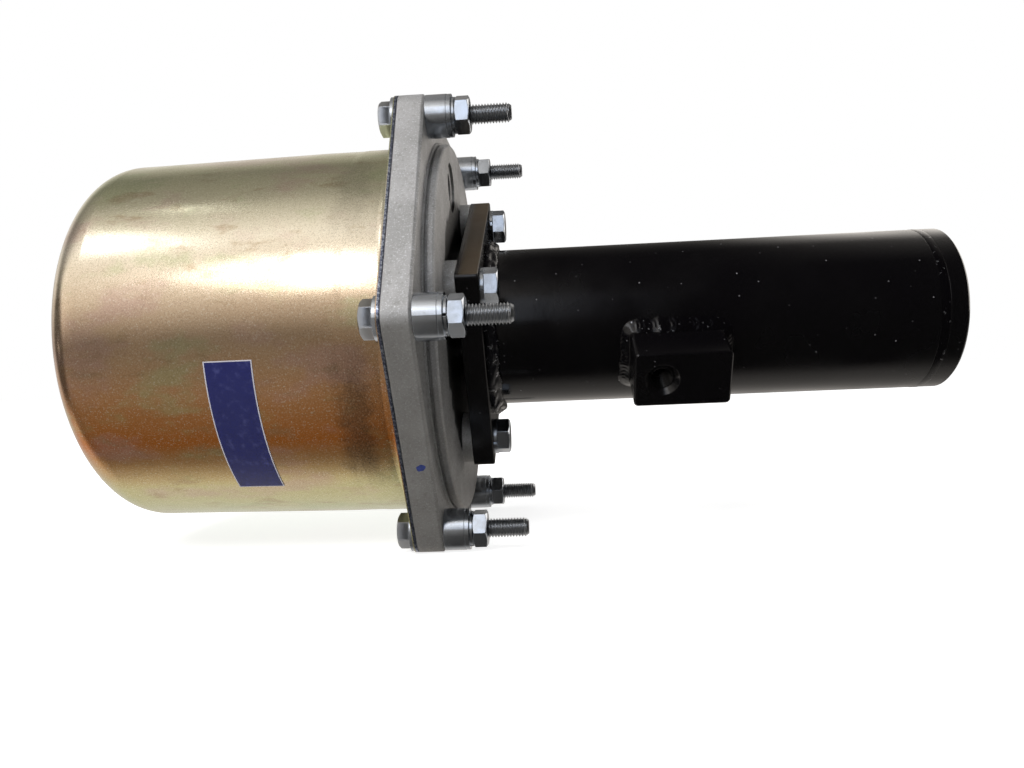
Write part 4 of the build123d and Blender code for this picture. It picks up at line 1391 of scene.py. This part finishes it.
@dataclass
class Studio:
    """Camera, floor, lamps and the tent that the bright metal mirrors."""

    camera_place: tuple[float, float, float] = (0.03163, -0.38352, -0.01921)
    camera_turn_deg: tuple[float, float, float] = (88.7732, 2.4390, 3.2184)
    focal_mm: float = 28.03
    sensor_mm: float = 36.0
    floor_half_size: float = 4.0
    floor_lift: float = 0.8
    world_as_lamp: float = 0.3
    tent_radius: float = 1.0
    tent_half_length: float = 30.0
    tent_peak: float = 2.0
    tent_tint: str = "#fff8f0"

    def build(self) -> None:
        """Sets up everything that isn't the part."""
        self._add_camera()
        self._add_floor()
        self._set_world()
        self._add_lamp("key_window", (-0.55, -0.85, 1.25), (-0.06, 0, 0), (1.1, 1.1), 5.6)
        self._add_lamp("top_fill", (0.1, -0.3, 1.1), (0, 0, 0), (1.2, 1.0), 0.8)
        self._add_tent()
        for window in WINDOWS:
            self._add_window(window)
        bpy.context.scene.view_settings.view_transform = "Standard"

    def _add_camera(self) -> None:
        """Adds the camera, with its turn about X, Y and Z."""
        data = bpy.data.cameras.new("studio_camera")
        data.lens = self.focal_mm
        data.sensor_width = self.sensor_mm
        data.clip_start = 0.01
        camera = bpy.data.objects.new("studio_camera", data)
        camera.location = self.camera_place
        camera.rotation_euler = [math.radians(turn) for turn in self.camera_turn_deg]
        bpy.context.scene.collection.objects.link(camera)
        bpy.context.scene.camera = camera

    @staticmethod
    def _shows_background(add: AddNode) -> Socket:
        """Tells the rays that see the white background from those that light the part.

        Args:
            add: Adds a node to the material or the world.

        Returns:
            A socket: 1 for rays from the camera and for those that metal or glass sends on, otherwise 0.
        """
        seen = add("LightPath", output="Is Camera Ray")
        others = seen.node.outputs
        for ray in ("Is Glossy Ray", "Is Transmission Ray"):
            seen = add("Math", (seen, others[ray]), **MOST)
        return seen

    @staticmethod
    def _new_surface(name: str) -> tuple[bpy.types.Material, AddNode]:
        """A new material without its shader, and what adds nodes to it.

        Args:
            name: The material's name.

        Returns:
            The material, and the function that adds nodes to it.
        """
        material = bpy.data.materials.new(name)
        material.use_nodes = True
        tree = material.node_tree
        tree.nodes.remove(tree.nodes["Principled BSDF"])
        return material, partial(add_node, tree)

    @staticmethod
    def _set_surface(material: bpy.types.Material, shader: Socket) -> None:
        """Links a shader's output to the material's surface."""
        tree = material.node_tree
        tree.links.new(shader, tree.nodes["Material Output"].inputs["Surface"])

    def _add_floor(self) -> None:
        """Adds the pale floor under the part, at the height of the flange's lower flat.

        The tent's lower panels stand for it in reflections.
        """
        low, _ = cad_box
        size = self.floor_half_size
        mesh = bmesh.new()
        corners = [(-size, -size), (size, -size), (size, size), (-size, size)]
        mesh.faces.new([mesh.verts.new((x, y, low[2])) for x, y in corners])
        material, add = self._new_surface("pale_floor_paper")
        matt = add("BsdfDiffuse", {"Color": linear("#e9e9e8")})
        lift = add("Math", (self._shows_background(add), self.floor_lift), **TIMES)
        glow = add("Emission", {"Color": (1, 1, 1, 1), "Strength": lift})
        self._set_surface(material, add("AddShader", (matt, glow)))
        floor = self._add_stage("studio_floor", mesh, material)
        floor.visible_glossy = False

    @staticmethod
    def _add_stage(name: str, mesh: Mesh, material: bpy.types.Material) -> bpy.types.Object:
        """Adds a piece of the studio.

        Args:
            name: Its name.
            mesh: Its geometry, in metres.
            material: What it is made of.

        Returns:
            The new object.
        """
        data = bpy.data.meshes.new(name)
        mesh.to_mesh(data)
        mesh.free()
        data.materials.append(material)
        stage = bpy.data.objects.new(name, data)
        bpy.context.scene.collection.objects.link(stage)
        return stage

    def _set_world(self) -> None:
        """A white surrounding to the eye and in reflections, and a softer one as a lamp."""
        world = bpy.data.worlds.new("studio_world")
        bpy.context.scene.world = world
        world.use_nodes = True
        tree = world.node_tree
        add = partial(add_node, tree)
        strength = add("MapRange", (self._shows_background(add), 0.0, 1.0, self.world_as_lamp, 1.0), **SMOOTH)
        background = tree.nodes["Background"].inputs
        feed(tree, background["Color"], (1, 1, 1, 1))
        feed(tree, background["Strength"], strength)

    @staticmethod
    def _add_lamp(
        name: str, place: Sequence[float], aim: Sequence[float], size: Point, radiance: float
    ) -> None:
        """Adds a rectangular lamp.

        Args:
            name: The lamp's name.
            place: Where its middle is, in metres.
            aim: The point that it faces.
            size: Its width and height in metres.
            radiance: How bright its face looks.
        """
        data = bpy.data.lights.new(name, "AREA")
        data.shape = "RECTANGLE"
        data.size, data.size_y = size
        data.energy = radiance * math.pi * size[0] * size[1]
        lamp = bpy.data.objects.new(name, data)
        lamp.location = place
        lamp.rotation_euler = (Vector(aim) - Vector(place)).to_track_quat("-Z", "Y").to_euler()
        lamp.visible_camera = False
        lamp.visible_glossy = False
        bpy.context.scene.collection.objects.link(lamp)

    def _add_tent(self) -> None:
        """Adds the tent: a cylinder about the chamber's axis, brighter in some places than in others."""
        material, add = self._new_surface("tent_cloth")
        along, _, angle = about_axis(add)
        share = add("Math", (add("Math", (angle, FULL_TURN), operation="DIVIDE"), 0.5), **PLUS)
        tint = linear(self.tent_tint)

        def levels(wall: Wall) -> Socket:
            """Colours one stretch of the tent.

            Args:
                wall: The stretch.

            Returns:
                The colour's socket.
            """
            stops = []
            for degrees, level in wall.value:
                colour = tuple(channel * level / self.tent_peak for channel in tint[:3]) + (1.0,)
                stops.append((degrees / 360 + 0.5, colour))
            return add("ValToRGB", {"Fac": share}, stops=stops)

        colour = levels(Wall.FAR_END)
        for wall, start, end in WALL_JOINTS:
            shown = add("MapRange", (along, start, end), **SMOOTH)
            colour = add("Mix", (shown, colour, levels(wall)), **COLOURS)
        self._set_surface(material, add("Emission", {"Color": colour, "Strength": self.tent_peak}))
        columns = tuple((x, -180.0, 180.0) for x in (-self.tent_half_length, self.tent_half_length))
        self._add_sheet("tent", columns, self.tent_radius, material)

    def _add_window(self, window: Window) -> None:
        """Adds one window just inside the tent.

        Args:
            window: Its outline, colour and brightness.
        """
        material, add = self._new_surface(window.name)
        glow = {"Color": linear(window.colour), "Strength": window.level}
        self._set_surface(material, add("Emission", glow))
        self._add_sheet(window.name, window.columns, self.tent_radius * 0.98, material)

    def _add_sheet(
        self,
        name: str,
        columns: Sequence[tuple[float, float, float]],
        radius: float,
        material: bpy.types.Material,
    ) -> None:
        """Adds a curved sheet about the chamber's axis that only mirrors and gloss see.

        Args:
            name: Its name.
            columns: Places along the axis in metres, each with its lowest and highest angle in degrees.
            radius: Its distance from the axis in metres.
            material: What it is made of.
        """
        mesh = bmesh.new()
        steps = max(3, round(max(high - low for _, low, high in columns) / 5))
        rows = []
        for i in range(steps + 1):
            row = []
            for x, low, high in columns:
                height = math.radians(low + (high - low) * i / steps)
                row.append(mesh.verts.new((x, -radius * math.cos(height), radius * math.sin(height))))
            rows.append(row)
        for first, second in zip(rows, rows[1:]):
            for k in range(len(columns) - 1):
                mesh.faces.new((first[k], first[k + 1], second[k + 1], second[k]))
        sheet = self._add_stage(name, mesh, material)
        for unseen_by in ("camera", "diffuse", "shadow", "transmission", "volume_scatter"):
            setattr(sheet, f"visible_{unseen_by}", False)


def main() -> None:
    """Builds the part's looks in order, then the studio."""
    logging.basicConfig(level=logging.INFO, format="%(name)s %(message)s")
    for assembly in (DrawnCup(), CastCover(), FlangeFasteners(), SpringTube(), PistonRod(), Studio()):
        log.info("building %s", type(assembly).__name__)
        assembly.build()


if __name__ == "__main__":
    main()
